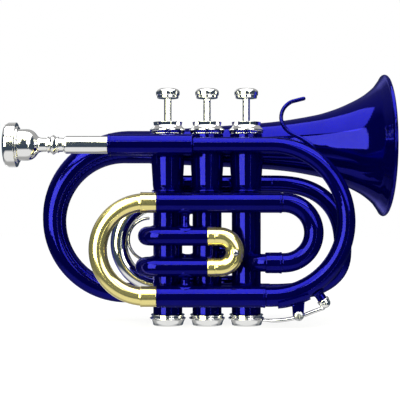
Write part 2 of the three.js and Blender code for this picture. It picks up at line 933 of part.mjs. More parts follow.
function keyPad() {
  const low = nippleEnd + fitGap;
  return outOfBow(bar(cupOuterRadius - cupWall - fitGap, low, low + padThickness, tubeSides));
}

const pivotHole = (radius) => {
  const length = keyBarrelLength + 2 * (earGap + earThickness) + overrun;
  const hole = alongY(bar(radius, -length / 2, length / 2, smallSides));
  return solidFrom(hole.translate(keyPivotX, 0, keyPivotHeight));
};

// A bar with round ends in the XZ plane, from one place to another.
function strap(fromX, fromZ, toX, toZ, thickness, width) {
  const length = Math.hypot(toX - fromX, toZ - fromZ);
  const shape = new THREE.Shape();
  const half = thickness / 2;
  shape.absarc(0, 0, half, Math.PI / 2, (3 * Math.PI) / 2);
  shape.absarc(length, 0, half, -Math.PI / 2, Math.PI / 2);
  const settings = { depth: width, bevelEnabled: false, curveSegments: 4 };
  const geometry = new THREE.ExtrudeGeometry(shape, settings);
  geometry.translate(0, 0, -width / 2).rotateX(Math.PI / 2);
  geometry.rotateY(-Math.atan2(toZ - fromZ, toX - fromX));
  return geometry.translate(fromX, 0, fromZ);
}

function keyLever() {
  const cupFloor = nippleEnd + fitGap + padThickness + fitGap;
  const cupTop = cupFloor + cupWall;
  const cupBore = cupOuterRadius - cupWall;
  const cup = outOfBow(turned([
    [0, cupFloor],
    [cupBore, cupFloor],
    [cupBore, nippleEnd],
    [cupOuterRadius, nippleEnd],
    [cupOuterRadius, cupTop - cupWall],
    [cupBore, cupTop],
    [0, cupTop],
  ], tubeSides));
  const cupX = nearBowX + Math.cos(nippleAngle) * (cupTop - cupWall / 2);
  const cupHeight = nearBowHeight + Math.sin(nippleAngle) * (cupTop - cupWall / 2);
  const barrel = alongY(bar(keyBarrelRadius, -keyBarrelLength / 2, keyBarrelLength / 2, smallSides));
  barrel.translate(keyPivotX, 0, keyPivotHeight);
  const touchX = keyPivotX - keyTouchReach;
  const touchHeight = keyPivotHeight - keyTouchDrop;
  const touchArm = strap(touchX, touchHeight, keyPivotX, keyPivotHeight,
    keyArmThickness, keyArmWidth);
  const padArm = strap(keyPivotX, keyPivotHeight, cupX, cupHeight, keyArmThickness, keyArmWidth);
  const touch = alongY(bar(keyTouchRadius, -keyTouchWidth / 2, keyTouchWidth / 2, smallSides));
  touch.translate(touchX, 0, touchHeight);
  const padSpace = outOfBow(bar(cupBore, nippleEnd - overrun, cupFloor, tubeSides));
  const lever = join(cup, barrel, touchArm, padArm, touch);
  const cleared = lever.subtract(solidFrom(padSpace)).subtract(pivotHole(keyPivotRadius + fitGap));
  return geometryFrom(cleared);
}

function keyBracket() {
  const half = keyBarrelLength / 2 + earGap;
  const ear = (side) => {
    const shape = new THREE.Shape();
    shape.absarc(0, 0, earRadius, -Math.PI, 0);
    shape.lineTo(bracketFootWidth / 2, keyPivotDrop);
    shape.lineTo(-bracketFootWidth / 2, keyPivotDrop);
    const settings = { depth: earThickness, bevelEnabled: false, curveSegments: 8 };
    const geometry = new THREE.ExtrudeGeometry(shape, settings);
    geometry.rotateX(Math.PI / 2).translate(0, earThickness / 2, 0);
    return geometry.translate(keyPivotX, side * (half + earThickness / 2), keyPivotHeight);
  };
  const footTop = keySeat - nearBowEndRadius / 2;
  const footBottom = keySeat - nearBowEndRadius - fitGap - 2 * bracketFootThickness;
  const foot = new THREE.BoxGeometry(bracketFootWidth, 2 * (half + earThickness),
    footTop - footBottom);
  foot.translate(keyPivotX, 0, (footTop + footBottom) / 2);
  const whole = join(ear(-1), ear(1), foot);
  return geometryFrom(whole.subtract(nearBowSpace()).subtract(pivotHole(keyPivotRadius + fitGap)));
}

function keyScrew() {
  const half = keyBarrelLength / 2 + earGap + earThickness;
  const screw = turned([
    [0, -half],
    [keyPivotRadius, -half],
    [keyPivotRadius, half + fitGap],
    [screwHeadRadius, half + fitGap],
    [screwHeadRadius, half + fitGap + screwHeadHeight],
    [0, half + fitGap + screwHeadHeight],
  ], smallSides);
  screw.rotateX(Math.PI / 2);
  return screw.translate(keyPivotX, 0, keyPivotHeight);
}

function nearSide() {
  return group(0, nearPlane, 0,
    piece("leadpipe_bow", nearBow(), lacquer()),
    piece("tuning_crook", tuningCrook(), gold()),
    piece("entry_bow", entryBow(), lacquer()),
    piece("entry_elbow", entryElbow(), lacquer()),
    piece("first_sleeve_upper", firstSleeve(firstUpperLine, firstUpperTurn), lacquer()),
    piece("first_sleeve_lower", firstSleeve(firstLowerLine, firstLowerTurn), lacquer()),
    piece("first_crook", firstCrook(), gold()),
    piece("finger_hook", fingerHook(), lacquer()),
    piece("water_key_nipple", nipple(), lacquer()),
    piece("water_key_bracket", keyBracket(), lacquer()),
    piece("water_key_lever", keyLever(), silver()),
    piece("water_key_pad", keyPad(), cork()),
    piece("water_key_screw", keyScrew(), steel()),
    group(receiverStart - mouthpieceShown, 0, blowingHeight,
      piece("mouthpiece", alongX(mouthpiece()), silver())),
    group(receiverStart, 0, blowingHeight,
      piece("mouthpiece_receiver", alongX(receiver()), lacquer())),
    group(receiverEnd + fitGap, 0, blowingHeight,
      piece("leadpipe", alongX(leadpipe()), lacquer())),
    group(sleeveStart, 0, lowerLine,
      piece("lower_slide_sleeve",
        alongX(sleeve(sleeveStart, lowerSleeveEnd, lowerSleeveRadius)), lacquer())),
    group(sleeveStart, 0, upperLine,
      piece("upper_slide_sleeve",
        alongX(sleeve(sleeveStart, upperSleeveEnd, upperSleeveRadius)), lacquer())),
    group(firstBowX + firstBend, 0, firstLowerLine + firstBend,
      piece("first_slide_knob", pullKnob().rotateX(Math.PI / 2), silver())),
    group(braceX, 0, 0,
      piece("near_brace_upper",
        nearBrace(firstUpperLine, firstSleeveRadius, upperLine, upperSleeveRadius), lacquer()),
      piece("near_brace_lower",
        nearBrace(lowerLine, lowerSleeveRadius, firstLowerLine, firstSleeveRadius), lacquer())),
  );
}

// Far side: second and third valve slides, and the tubes that lead to the bell.
function secondSleeve(line) {
  const tube = pipe(secondSleeveRadius, secondSleeveRadius - sleeveWall, 0, secondSleeveEnd);
  return cut(alongY(tube).translate(0, 0, line), casingSpace(0, 0));
}

function secondCrook() {
  const bend = (secondUpperLine - secondLowerLine) / 2;
  const out = secondSleeveEnd + secondFerruleLength + fitGap + bend;
  const inside = secondSleeveEnd - secondLegLength;
  const legRadius = secondSleeveRadius - sleeveWall - slideGap;
  return crook([
    [0, inside, secondUpperLine],
    [0, out, secondUpperLine, bend],
    [0, out, secondLowerLine, bend],
    [0, inside, secondLowerLine],
  ], secondLegLength + fitGap, secondFerruleLength, legRadius, secondSleeveRadius,
  secondBowRadius, tubeWall);
}

function thirdSleeve(line) {
  const geometry = bentPipe([
    [valveSpacing, -thirdPlane, line],
    [valveSpacing, 0, line, thirdKnuckleBend],
    [thirdSleeveStart, 0, line],
  ], () => thirdSleeveRadius, sleeveWall);
  return cut(geometry, casingSpace(valveSpacing, thirdPlane));
}

const thirdInside = thirdSleeveStart + thirdLegLength;
const thirdCorners = [
  [thirdInside, 0, thirdUpperLine],
  [thirdBowX - thirdBend, 0, thirdUpperLine, thirdBend],
  [thirdBowX - thirdBend, 0, thirdLowerLine, thirdBend],
  [thirdInside, 0, thirdLowerLine],
];

function thirdCrook() {
  const legRadius = thirdSleeveRadius - sleeveWall - slideGap;
  return crook(thirdCorners, thirdLegLength + fitGap, thirdFerruleLength, legRadius,
  thirdSleeveRadius, thirdBowRadius, tubeWall);
}

function fingerRing() {
  const bowInside = thirdBend - thirdBowRadius;
  const ringRadius = bowInside * ringShare;
  const centreX = thirdBowX - bowInside + ringRadius + ringWire - ringSeat;
  const centre = new THREE.Vector3(centreX, 0, thirdLowerLine + thirdBend + ringRise);
  const from = centre.clone();
  from.x += ringRadius * Math.cos(ringStartAngle);
  from.z += ringRadius * Math.sin(ringStartAngle);
  const arc = new Arc(centre, from, new THREE.Vector3(0, -1, 0), ringSweep);
  const wire = bent(stationsOf([arc]), () => ringWire, null, wireSides);
  return cut(wire, tubeSpace(thirdCorners, () => thirdBowRadius));
}

function thirdSide() {
  return group(0, thirdPlane, 0,
    piece("third_sleeve_upper", thirdSleeve(thirdUpperLine), lacquer()),
    piece("third_sleeve_lower", thirdSleeve(thirdLowerLine), lacquer()),
    piece("third_crook", thirdCrook(), silver()),
    piece("third_finger_ring", fingerRing(), silver()),
  );
}

function secondSide() {
  return group(0, 0, 0,
    piece("second_sleeve_upper", secondSleeve(secondUpperLine), lacquer()),
    piece("second_sleeve_lower", secondSleeve(secondLowerLine), lacquer()),
    piece("second_crook", secondCrook(), gold()),
  );
}

function exitTube() {
  const geometry = bentPipe([
    [-valveSpacing, 0, exitLine],
    [-valveSpacing, exitPlane, exitLine, exitBend],
    [farBowX - fitGap, exitPlane, exitLine],
  ], () => exitRadius, tubeWall);
  return cut(geometry, casingSpace(-valveSpacing, 0));
}

// Half of an oval seen along Y, which leans from one plane to the other as it comes down.
class LeaningBow extends THREE.Curve {
  getPoint(t, target = new THREE.Vector3()) {
    const angle = t * Math.PI;
    const fall = Math.cos(angle);
    const drop = Math.sign(fall) * Math.abs(fall) ** farBowFullness;
    const height = drop > 0 ? exitLine - farBowMiddle : farBowMiddle - returnLine;
    const lean = (1 - drop) / 2;
    return target.set(
      farBowX + farBowWidth * Math.sin(angle) ** farBowFullness,
      THREE.MathUtils.lerp(exitPlane, returnPlane, lean),
      farBowMiddle + height * drop,
    );
  }
}

function farBow() {
  const outer = through(exitRadius, farBowEndRadius);
  return bent(evenStations(new LeaningBow(), farBowSteps), outer, (share) => outer(share) - tubeWall);
}

function bellBow() {
  const bend = (bellLine - returnLine) / 2;
  const left = bellBowX - bend;
  const lean = bellPlane - returnPlane;
  const pieces = route([
    [farBowX - fitGap, returnPlane, returnLine],
    [left, returnPlane, returnLine, bend],
    [left, returnPlane, bellLine, bend],
    [bellStart - fitGap, returnPlane, bellLine],
  ]);
  const stations = stationsOf(pieces);
  const straight = farBowX - fitGap - bellBowX;
  const arc = Math.PI * bend;
  stations.forEach((station) => {
    const share = THREE.MathUtils.clamp((station.along - straight) / arc, 0, 1);
    station.place.y += lean * share;
  });
  const outer = (_, along) => {
    const onBow = (along - straight) / arc;
    if (onBow <= 0) {
      return THREE.MathUtils.lerp(bellBowStartRadius, bellBowLowRadius, along / straight);
    }
    return through(bellBowLowRadius, bellBowSideRadius, bellStartRadius)(Math.min(onBow, 1));
  };
  return bent(stations, outer, (share, along) => outer(share, along) - tubeWall);
}

function bell() {
  const beadStart = bellMouthX - 2 * rimBead;
  const flareLength = beadStart - bellThroatX;
  const flareRise = bellMouthRadius - rimBead - bellThroatRadius;
  const outside = [[bellStartRadius, bellStart], [bellThroatRadius, bellThroatX]];
  flareLengthShares.forEach((share, i) => {
    const radius = bellThroatRadius + flareRise * flareRadiusShares[i];
    outside.push([radius, bellThroatX + flareLength * share]);
  });
  const inside = outside.map(([radius, x]) => [radius - bellWall, x]).reverse();
  const bead = [
    [bellMouthRadius, beadStart],
    [bellMouthRadius, bellMouthX - rimBead / 2],
    [bellMouthRadius - rimBead / 2, bellMouthX],
    [bellMouthRadius - 2 * rimBead, bellMouthX],
  ];
  return turned([...outside, ...bead, ...inside], bellSides);
}

// A short brace from a valve casing to the bell tube, its feet shaped to both.
function bellBrace(valveX) {
  const radius = bellRadiusAt(valveX + bellBraceFootRadius);
  const bellFace = bellPlane - Math.sqrt(radius ** 2 - (bellLine - bellBraceHeight) ** 2);
  const waistStart = barrelRadius + bellBraceFootHeight;
  const waistEnd = Math.max(bellFace - bellBraceFootHeight, waistStart + fitGap);
  const post = alongY(turned([
    [0, barrelRadius / 2],
    [bellBraceFootRadius, barrelRadius / 2],
    [bellBraceFootRadius, waistStart],
    [bellBraceRadius, waistStart],
    [bellBraceRadius, waistEnd],
    [bellBraceFootRadius, waistEnd],
    [bellBraceFootRadius, bellPlane - radius / 2],
    [0, bellPlane - radius / 2],
  ], tubeSides)).translate(valveX, 0, bellBraceHeight);
  const bellSpace = alongX(turned([
    [0, bellStart],
    [bellStartRadius + fitGap, bellStart],
    [bellThroatRadius + fitGap, bellThroatX],
    [0, bellThroatX],
  ], bellSides)).translate(0, bellPlane, bellLine);
  return cut(post, casingSpace(valveX, 0), solidFrom(bellSpace));
}

function portTube(fromX, toX, height) {
  const geometry = alongX(pipe(portRadius, portRadius - tubeWall, fromX, toX));
  geometry.translate(0, 0, height);
  return cut(geometry, casingSpace(fromX, 0), casingSpace(toX, 0));
}

function bellSide() {
  return group(0, 0, 0,
    piece("exit_tube", exitTube(), lacquer()),
    piece("far_bow", farBow(), lacquer()),
    piece("bell_bow", bellBow(), lacquer()),
    piece("bell_brace_1", bellBrace(-valveSpacing), lacquer()),
    piece("bell_brace_3", bellBrace(valveSpacing), lacquer()),
    piece("valve_port_1_2", portTube(-valveSpacing, 0, port12Height), lacquer()),
    piece("valve_port_2_3", portTube(0, valveSpacing, port23Height), lacquer()),
    group(0, bellPlane, bellLine, piece("bell", alongX(bell()), lacquer())),
  );
}

const trumpet = new THREE.Group();
trumpet.name = "pocket_trumpet";
for (let index = 0; index < 3; index++) trumpet.add(valve(index));
trumpet.add(nearSide(), secondSide(), thirdSide(), bellSide());

export default trumpet;
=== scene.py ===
"""Looks of a pocket trumpet with three piston valves, built round its packed CAD frame.

Pieces are modelled in millimetres, and put into metres when they are set in the frame.
+X points the way the bell faces, -Y is the side of the leadpipe and +Z is up.
"""

import json
import math
from collections import namedtuple
from types import SimpleNamespace

import bmesh
import bpy
from bpy.props import FloatProperty, FloatVectorProperty, PointerProperty
from bpy.types import Operator, Panel, PropertyGroup
from mathutils import Matrix, Quaternion, Vector
from mathutils.geometry import interpolate_bezier

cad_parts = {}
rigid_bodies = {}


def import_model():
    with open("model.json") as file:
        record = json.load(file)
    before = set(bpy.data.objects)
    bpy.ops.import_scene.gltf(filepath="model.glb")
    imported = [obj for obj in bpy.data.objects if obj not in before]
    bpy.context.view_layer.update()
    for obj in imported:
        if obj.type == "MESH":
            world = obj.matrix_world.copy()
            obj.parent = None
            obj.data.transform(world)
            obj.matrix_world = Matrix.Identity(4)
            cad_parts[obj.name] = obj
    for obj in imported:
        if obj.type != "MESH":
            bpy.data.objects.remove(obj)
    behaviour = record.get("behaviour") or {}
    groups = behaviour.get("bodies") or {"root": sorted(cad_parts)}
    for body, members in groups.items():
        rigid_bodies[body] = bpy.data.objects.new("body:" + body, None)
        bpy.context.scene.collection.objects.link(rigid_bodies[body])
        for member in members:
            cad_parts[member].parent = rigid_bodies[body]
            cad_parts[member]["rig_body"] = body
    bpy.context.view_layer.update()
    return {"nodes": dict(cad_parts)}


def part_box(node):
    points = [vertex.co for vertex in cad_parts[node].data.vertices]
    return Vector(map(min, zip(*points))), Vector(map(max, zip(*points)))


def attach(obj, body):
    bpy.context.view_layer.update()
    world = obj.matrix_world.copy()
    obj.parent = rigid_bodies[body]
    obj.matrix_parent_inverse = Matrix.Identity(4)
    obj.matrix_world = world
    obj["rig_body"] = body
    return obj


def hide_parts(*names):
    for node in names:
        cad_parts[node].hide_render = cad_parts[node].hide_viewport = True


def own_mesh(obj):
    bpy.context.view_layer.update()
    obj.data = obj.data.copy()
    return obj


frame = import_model()

bl_info = {
    "name": "Pocket Trumpet",
    "version": (1, 0, 0),
    "blender": (4, 5, 0),
    "location": "View3D > Sidebar > Trumpet",
    "description": "Dresses the packed pocket trumpet in its lacquer, silver and brass",
    "category": "Object",
}

MM = 0.001
ALONG = (1, 0, 0)
AWAY = (0, 1, 0)
UP = (0, 0, 1)

# Roundness, in sides and steps, and the edges that stay crisp
TUBE_SIDES = 48
TURNED_SIDES = 72
KNURLED_SIDES = 160
BELL_SIDES = 200
WIRE_SIDES = 20
BEND_STEP = math.radians(4)
ROUND_STEPS = 3
CRISP_ANGLE = math.radians(34)
JOINED = 0.001
KEPT_FLAT = 0.1
EDGE_ROUND = 0.14
RUN_SUPPORT = 0.5

# Fits of the frame
FIT_GAP = 0.3
TUBE_WALL = 0.7
SLEEVE_WALL = 0.6
LEG_STEP = 0.9

# Valves, from the foot upwards, with the ports between them
CASING_BOTTOM = 7.4
CASING_BORE = 8.8
BARREL_BORE = 9.2
SEAT_HEIGHT = 86.4
BARREL_FULL = 99.2
CASING_TOP = 121.9
PORT_RADIUS = 5.2
PORT_LOW = 40.3
PORT_HIGH = 46.7
CAP_BASE = 122.2
CAP_TOP = 129.8
KNURL_RIBS = 40
KNURL_DEPTH = 0.45
FOOT_FLANGE = 3.8
FOOT_TOP = 7.1
FOOT_FLOOR = 2.2
PISTON_RADIUS = 8.5
PISTON_BOTTOM = 17.6
PISTON_WEB = 46
PISTON_FLOOR = 71
PISTON_TOP = 101
STEM_BOTTOM = 71.3
BUTTON_BOTTOM = 145
SPRING_LOW = 3.0
SPRING_HIGH = 45.2
SPRING_RADIUS = 5.8
SPRING_WIRE = 0.5
SPRING_TURNS = 6

# Near side: its plane and the heights of its tubes
NEAR = -17.6
BLOWING = 114.3
UPPER = 78.4
FIRST_UPPER = 57.35
ENTRY = 40.9
FIRST_LOWER = 38.05
LOWER = 19.9
MOUTHPIECE_X = -125.9
RECEIVER_X = -61.6
RECEIVER_END = -9.1
NEAR_BOW_X = 39.4
LOWER_SLEEVE_END = 36.0
UPPER_SLEEVE_END = 46.3
SLEEVE_START = -31.4
TUNING_BOW_X = -38.9
TUNING_LEG = 42
ENTRY_BOW_X = 47.6
ELBOW_STEP = 7.4
ELBOW_BEND = 6.2
ELBOW_RADIUS = 5.6
FERRULE_X = 36.1
FIRST_SLEEVE_END = -0.1
FIRST_BOW_X = 7.6
FIRST_BOW = 5.7
FIRST_LEG = 20
HOOK_RADIUS = 1.25

# Water key: its angles on the large bow, in degrees above the bow's middle
NIPPLE_ANGLE = -56.6
FOOT_START = -85
FOOT_END = -63

# Far side: its planes, and the heights and ends of its tubes
EXIT_PLANE = 16.5
EXIT = 90.6
THIRD_PLANE = 15.6
THIRD_UPPER = 79.0
THIRD_LOWER = 24.6
THIRD_BOW_X = -30.4
THIRD_SLEEVE_END = -27.5
THIRD_LEG = 34
RING_X = -37.6
RING_HEIGHT = 54.2
RING_RADIUS = 13.8
SECOND_UPPER = 60.0
SECOND_LOWER = 45.0
SECOND_SLEEVE_END = 23.0
SECOND_LEG = 11
RETURN = 18.2
RETURN_PLANE = 27.5
BELL_PLANE = 26.5
BELL_LINE = 116.2
BELL_BOW_X = -52.5
BELL_START = -36.0
BELL_DROOP = 1.0
BELL_THROAT_X = 40.0
BELL_MOUTH_X = 118.8
BELL_POST_HEIGHT = 108.0
FAR_BOW_X = 42.4
FAR_BOW_WIDTH = 47.6
FAR_BOW_MIDDLE = 46.0
FAR_BOW_FULLNESS = 0.8

# The flare of the bell, as shares of its length and of its rise
FLARE = (
    (0.165, 0.044), (0.287, 0.091), (0.392, 0.14), (0.477, 0.188), (0.608, 0.296),
    (0.713, 0.41), (0.835, 0.575), (0.931, 0.769), (0.974, 0.908), (1.0, 1.0),
)

Station = namedtuple("Station", "place heading along")


def length(name, millimetres, description):
    """A size that the sidebar shows in the scene's own unit."""
    return FloatProperty(
        name=name, description=description, default=millimetres * MM, min=0, unit="LENGTH"
    )


def colour(name, default, description):
    """A colour that the sidebar shows as a swatch."""
    return FloatVectorProperty(
        name=name, description=description, default=default, size=3, min=0, max=1, subtype="COLOR"
    )


class ValveSizes(PropertyGroup):
    """Sizes that the three valves share"""

    casing_radius: length("Casing radius", 9.3, "Outside radius of a casing below its seat")
    seat_radius: length("Seat radius", 9.65, "Outside radius of the ring above the casing")
    barrel_radius: length("Barrel radius", 10.4, "Outside radius of a casing below its top cap")
    cap_radius: length("Cap radius", 11.5, "Widest radius of the top and bottom caps")
    stem_radius: length("Stem radius", 2.37, "Radius of the stem between cap and button")
    button_radius: length("Button radius", 7.6, "Radius of a finger button")


class MouthpieceSizes(PropertyGroup):
    """Sizes of the mouthpiece"""

    rim_radius: length("Rim radius", 13.89, "Outside radius of the rim")
    cup_radius: length("Cup radius", 9.8, "Outside radius of the cup behind the rim")
    neck_radius: length("Neck radius", 4.4, "Radius of the thin neck behind the cup")
    bead_radius: length("Bead radius", 6.0, "Radius of the bead on the neck")
    shank_radius: length("Shank radius", 5.5, "Radius of the shank before the receiver")


class TubeSizes(PropertyGroup):
    """Outside radii of the tubes"""

    receiver: length("Receiver", 6.78, "Radius of the mouthpiece receiver")
    leadpipe: length("Leadpipe", 4.95, "Radius of the leadpipe")
    large_bow_end: length("Large bow end", 6.4, "Radius of the large bow where it meets its sleeve")
    lower_sleeve: length("Lower sleeve", 6.85, "Radius of the lower sleeve of the tuning slide")
    upper_sleeve: length("Upper sleeve", 6.4, "Radius of the upper sleeve of the tuning slide")
    tuning_bow: length("Tuning bow", 5.75, "Radius of the tuning slide's bow")
    entry_bow: length("Entry bow", 6.1, "Radius of the bow before the third valve")
    first_sleeve: length("First sleeves", 5.9, "Radius of the first slide's sleeves")
    second_sleeve: length("Second sleeves", 5.0, "Radius of the second slide's sleeves")
    third_sleeve: length("Third sleeves", 6.0, "Radius of the third slide's sleeves")
    exit_tube: length("Exit tube", 5.58, "Radius of the tube that leaves the first valve")
    return_tube: length("Return tube", 6.1, "Radius of the tube that feeds the bell bow")


class BellSizes(PropertyGroup):
    """Sizes of the bell"""

    stem_radius: length("Stem radius", 10.8, "Outside radius where the bell leaves its bow")
    throat_radius: length("Throat radius", 15.6, "Outside radius where the flare starts")
    mouth_radius: length("Mouth radius", 47.04, "Outside radius of the rolled rim")
    wall: length("Wall", 0.9, "Thickness of the bell's wall")
    rim_bead: length("Rim bead", 1.4, "Radius of the wire that the rim is rolled over")


class FinishColours(PropertyGroup):
    """Colours of the finishes"""

    lacquer: colour("Blue lacquer", (0.001, 0.001, 0.12), "Clear blue lacquer over bright metal")
    silver: colour("Silver plate", (0.9, 0.9, 0.885), "Silver plate of caps and mouthpiece")
    brass: colour("Gold brass", (0.84, 0.73, 0.3), "Polished gold brass of the slide crooks")
    steel: colour("Steel", (0.52, 0.53, 0.55), "Pistons, springs and the key's screw")
    cork: colour("Cork", (0.42, 0.24, 0.12), "Cork pad of the water key")


def sizes(context, name):
    """The lengths of a property group in millimetres, by their names."""
    group = getattr(context.scene, name)
    return SimpleNamespace(**{key: getattr(group, key) / MM for key in type(group).__annotations__})


# ---- Shader nodes


class Signal:
    """A socket in a finish's nodes, on which a pattern's arithmetic is written."""

    def __init__(self, finish, socket):
        self.finish = finish
        self.socket = socket

    def maths(self, operation, first, second):
        node = self.finish.node("ShaderNodeMath", {"operation": operation}, first, second)
        return node["Value"]

    def __add__(self, other):
        return self.maths("ADD", self, other)

    def __sub__(self, other):
        return self.maths("SUBTRACT", self, other)

    def __rsub__(self, other):
        return self.maths("SUBTRACT", other, self)

    def __mul__(self, other):
        return self.maths("MULTIPLY", self, other)

    def __gt__(self, other):
        return self.maths("GREATER_THAN", self, other)

    __radd__ = __add__
    __rmul__ = __mul__


class Finish:
    """The nodes of one finish, or of the world."""

    def __init__(self, tree):
        self.tree = tree
        tree.nodes.clear()

    def node(self, kind, settings=None, *values, **named):
        """Adds a node: its settings first, then what its sockets hold or are linked to."""
        node = self.tree.nodes.new(kind)
        for key, value in (settings or {}).items():
            if key == "stops":
                self.set_stops(node.color_ramp, value)
            else:
                setattr(node, key, value)
        sockets = [(node.inputs[i], value) for i, value in enumerate(values)]
        sockets += [(node.inputs[key.replace("_", " ")], value) for key, value in named.items()]
        for socket, value in sockets:
            if isinstance(value, Signal):
                self.tree.links.new(value.socket, socket)
            elif value is not None:
                socket.default_value = value
        return {socket.name: Signal(self, socket) for socket in node.outputs if socket.enabled}

    @staticmethod
    def set_stops(ramp, stops):
        for place, _ in stops[2:]:
            ramp.elements.new(place)
        for element, (place, shade) in zip(ramp.elements, stops):
            element.position = place
            element.color = (*shade, 1) if isinstance(shade, tuple) else (shade, shade, shade, 1)

    def noise(self, scale, detail=3.0):
        """Noise on the piece's own coordinates, whose grains are 1 / scale metres apart."""
        place = self.node("ShaderNodeTexCoord")["Object"]
        made = self.node("ShaderNodeTexNoise", None, Vector=place, Scale=scale, Detail=detail)
        return made.get("Fac") or made["Factor"]

    def mixed(self, share, first, second):
        """Two colours mixed by a share."""
        node = self.tree.nodes.new("ShaderNodeMix")
        node.data_type = "RGBA"
        for index, value in ((0, share), (6, first), (7, second)):
            socket = node.inputs[index]
            if isinstance(value, Signal):
                self.tree.links.new(value.socket, socket)
            else:
                socket.default_value = value
        return Signal(self, node.outputs[2])

    def bumped(self, height, strength, distance):
        """A normal raised by a height."""
        made = self.node(
            "ShaderNodeBump", None, Height=height, Strength=strength, Distance=distance
        )
        return made["Normal"]

    def output(self, shader, kind="ShaderNodeOutputMaterial"):
        self.node(kind, None, shader)


def opaque(shade, lift=1.0):
    """A colour property as a socket's colour, lightened or darkened."""
    return (*(min(1.0, part * lift) for part in shade), 1.0)


def lacquer_nodes(finish, colours):
    """Blue lacquer: a tint that pools a little darker, over bright metal, under clear gloss."""
    pooled = finish.noise(38, 2)
    peel = finish.noise(900, 2)
    smudge = finish.noise(70, 4)
    tint = finish.mixed(pooled, opaque(colours.lacquer, 0.7), opaque(colours.lacquer, 1.35))
    roughness = 0.05 + 0.05 * smudge
    normal = finish.bumped(peel, 0.05, 0.0002)
    made = finish.node(
        "ShaderNodeBsdfPrincipled", None, Base_Color=tint, Metallic=0.86, Roughness=roughness,
        Normal=normal, Specular_Tint=(0.04, 0.04, 0.7, 1), Coat_Weight=0.1, Coat_Roughness=0.02,
    )
    finish.output(made["BSDF"])


def plated_nodes(finish, shade, low, high, grain, metallic=1.0):
    """Polished plate: faint polishing grain, smudges that dull it, and slightly uneven colour."""
    smudge = finish.noise(60, 4)
    fine = finish.noise(grain, 3)
    tint = finish.mixed(smudge, opaque(shade, 0.93), opaque(shade, 1.04))
    roughness = low + (high - low) * smudge
    normal = finish.bumped(fine, 0.03, 0.0001)
    made = finish.node(
        "ShaderNodeBsdfPrincipled", None, Base_Color=tint, Metallic=metallic,
        Roughness=roughness, Normal=normal,
    )
    finish.output(made["BSDF"])


def silver_nodes(finish, colours):
    """Silver plate, close to a mirror."""
    plated_nodes(finish, colours.silver, 0.03, 0.1, 1400)


def brass_nodes(finish, colours):
    """Polished gold brass, a little softer than the silver."""
    plated_nodes(finish, colours.brass, 0.1, 0.18, 1100, 0.94)


def steel_nodes(finish, colours):
    """Ground steel."""
    plated_nodes(finish, colours.steel, 0.22, 0.38, 1800)


def cork_nodes(finish, colours):
    """Cork, with darker pores."""
    pores = finish.noise(1500, 5)
    pitted = pores > 0.56
    tint = finish.mixed(pitted, opaque(colours.cork), opaque(colours.cork, 0.45))
    normal = finish.bumped(1 - pores, 0.5, 0.0004)
    made = finish.node(
        "ShaderNodeBsdfPrincipled", None, Base_Color=tint, Roughness=0.85, Normal=normal
    )
    finish.output(made["BSDF"])


FINISHES = {
    "blue_lacquer": lacquer_nodes,
    "silver_plate": silver_nodes,
    "gold_brass": brass_nodes,
    "steel": steel_nodes,
    "cork": cork_nodes,
}


def finish_of(context, slot):
    """The material of a slot, made the first time that a piece asks for it."""
    name = "finish_" + slot
    if name not in bpy.data.materials:
        material = bpy.data.materials.new(name)
        material.use_nodes = True
        FINISHES[slot](Finish(material.node_tree), context.scene.trumpet_colours)
    return bpy.data.materials[name]


# ---- Modelling


def tidy(bm):
    """Closes the seams of a shape, and turns its faces outwards."""
    bmesh.ops.remove_doubles(bm, verts=bm.verts, dist=JOINED)
    bmesh.ops.recalc_face_normals(bm, faces=bm.faces)


def round_edges(bm, rounding):
    """Rounds the edges at which a shape's faces meet sharply."""
    sharp = [edge for edge in bm.edges if edge.calc_face_angle(0) > CRISP_ANGLE]
    if sharp and rounding:
        bmesh.ops.bevel(
            bm, geom=sharp, offset=rounding, offset_type="OFFSET", segments=2, profile=0.5,
            affect="EDGES", material=-1, clamp_overlap=True,
        )


def keep_flat(bm):
    """Cuts a section's long edges near both ends, so that their faces stay flat in the light."""
    for edge in bm.edges[:]:
        run = edge.calc_length()
        if run > 4 * KEPT_FLAT:
            start, end = edge.verts
            other, _ = bmesh.utils.edge_split(edge, start, KEPT_FLAT / run)
            rest = other if end in other.verts else edge
            bmesh.utils.edge_split(rest, end, KEPT_FLAT / (run - KEPT_FLAT))


def turned(outline, sides=TURNED_SIDES):
    """A piece turned about +Z, from radius, height and rounding at the points of its section."""
    bm = bmesh.new()
    corners = [bm.verts.new((point[0], 0, point[1])) for point in outline]
    for pair in zip(corners, corners[1:]):
        bm.edges.new(pair)
    if outline[0][0] > JOINED:
        bm.edges.new((corners[-1], corners[0]))
    for corner, point in zip(corners, outline):
        if len(point) > 2:
            bmesh.ops.bevel(
                bm, geom=[corner], offset=point[2], offset_type="OFFSET", segments=ROUND_STEPS,
                profile=0.5, affect="VERTICES", material=-1, clamp_overlap=True,
            )
    keep_flat(bm)
    bmesh.ops.spin(
        bm, geom=bm.verts[:] + bm.edges[:], cent=(0, 0, 0), axis=(0, 0, 1), dvec=(0, 0, 0),
        angle=2 * math.pi, steps=sides, use_merge=True, use_duplicate=False,
    )
    tidy(bm)
    return bm


def laid(bm, place, heading=UP):
    """Turns a shape from +Z to a heading, and moves it to its place."""
    turn = Vector(UP).rotation_difference(Vector(heading)).to_matrix().to_4x4()
    bmesh.ops.transform(bm, matrix=Matrix.Translation(place) @ turn, verts=bm.verts)
    return bm


def smooth_through(points, steps=6):
    """Points on a smooth curve through the given ones."""
    given = [Vector(point) for point in points]
    smooth = [given[0]]
    for i in range(len(given) - 1):
        before = given[max(i - 1, 0)]
        here, there = given[i], given[i + 1]
        after = given[min(i + 2, len(given) - 1)]
        span = (there - here).length
        leaving = (there - before).normalized() * span / 3
        arriving = (after - here).normalized() * span / 3
        smooth += interpolate_bezier(here, here + leaving, there - arriving, there, steps + 1)[1:]
    return smooth


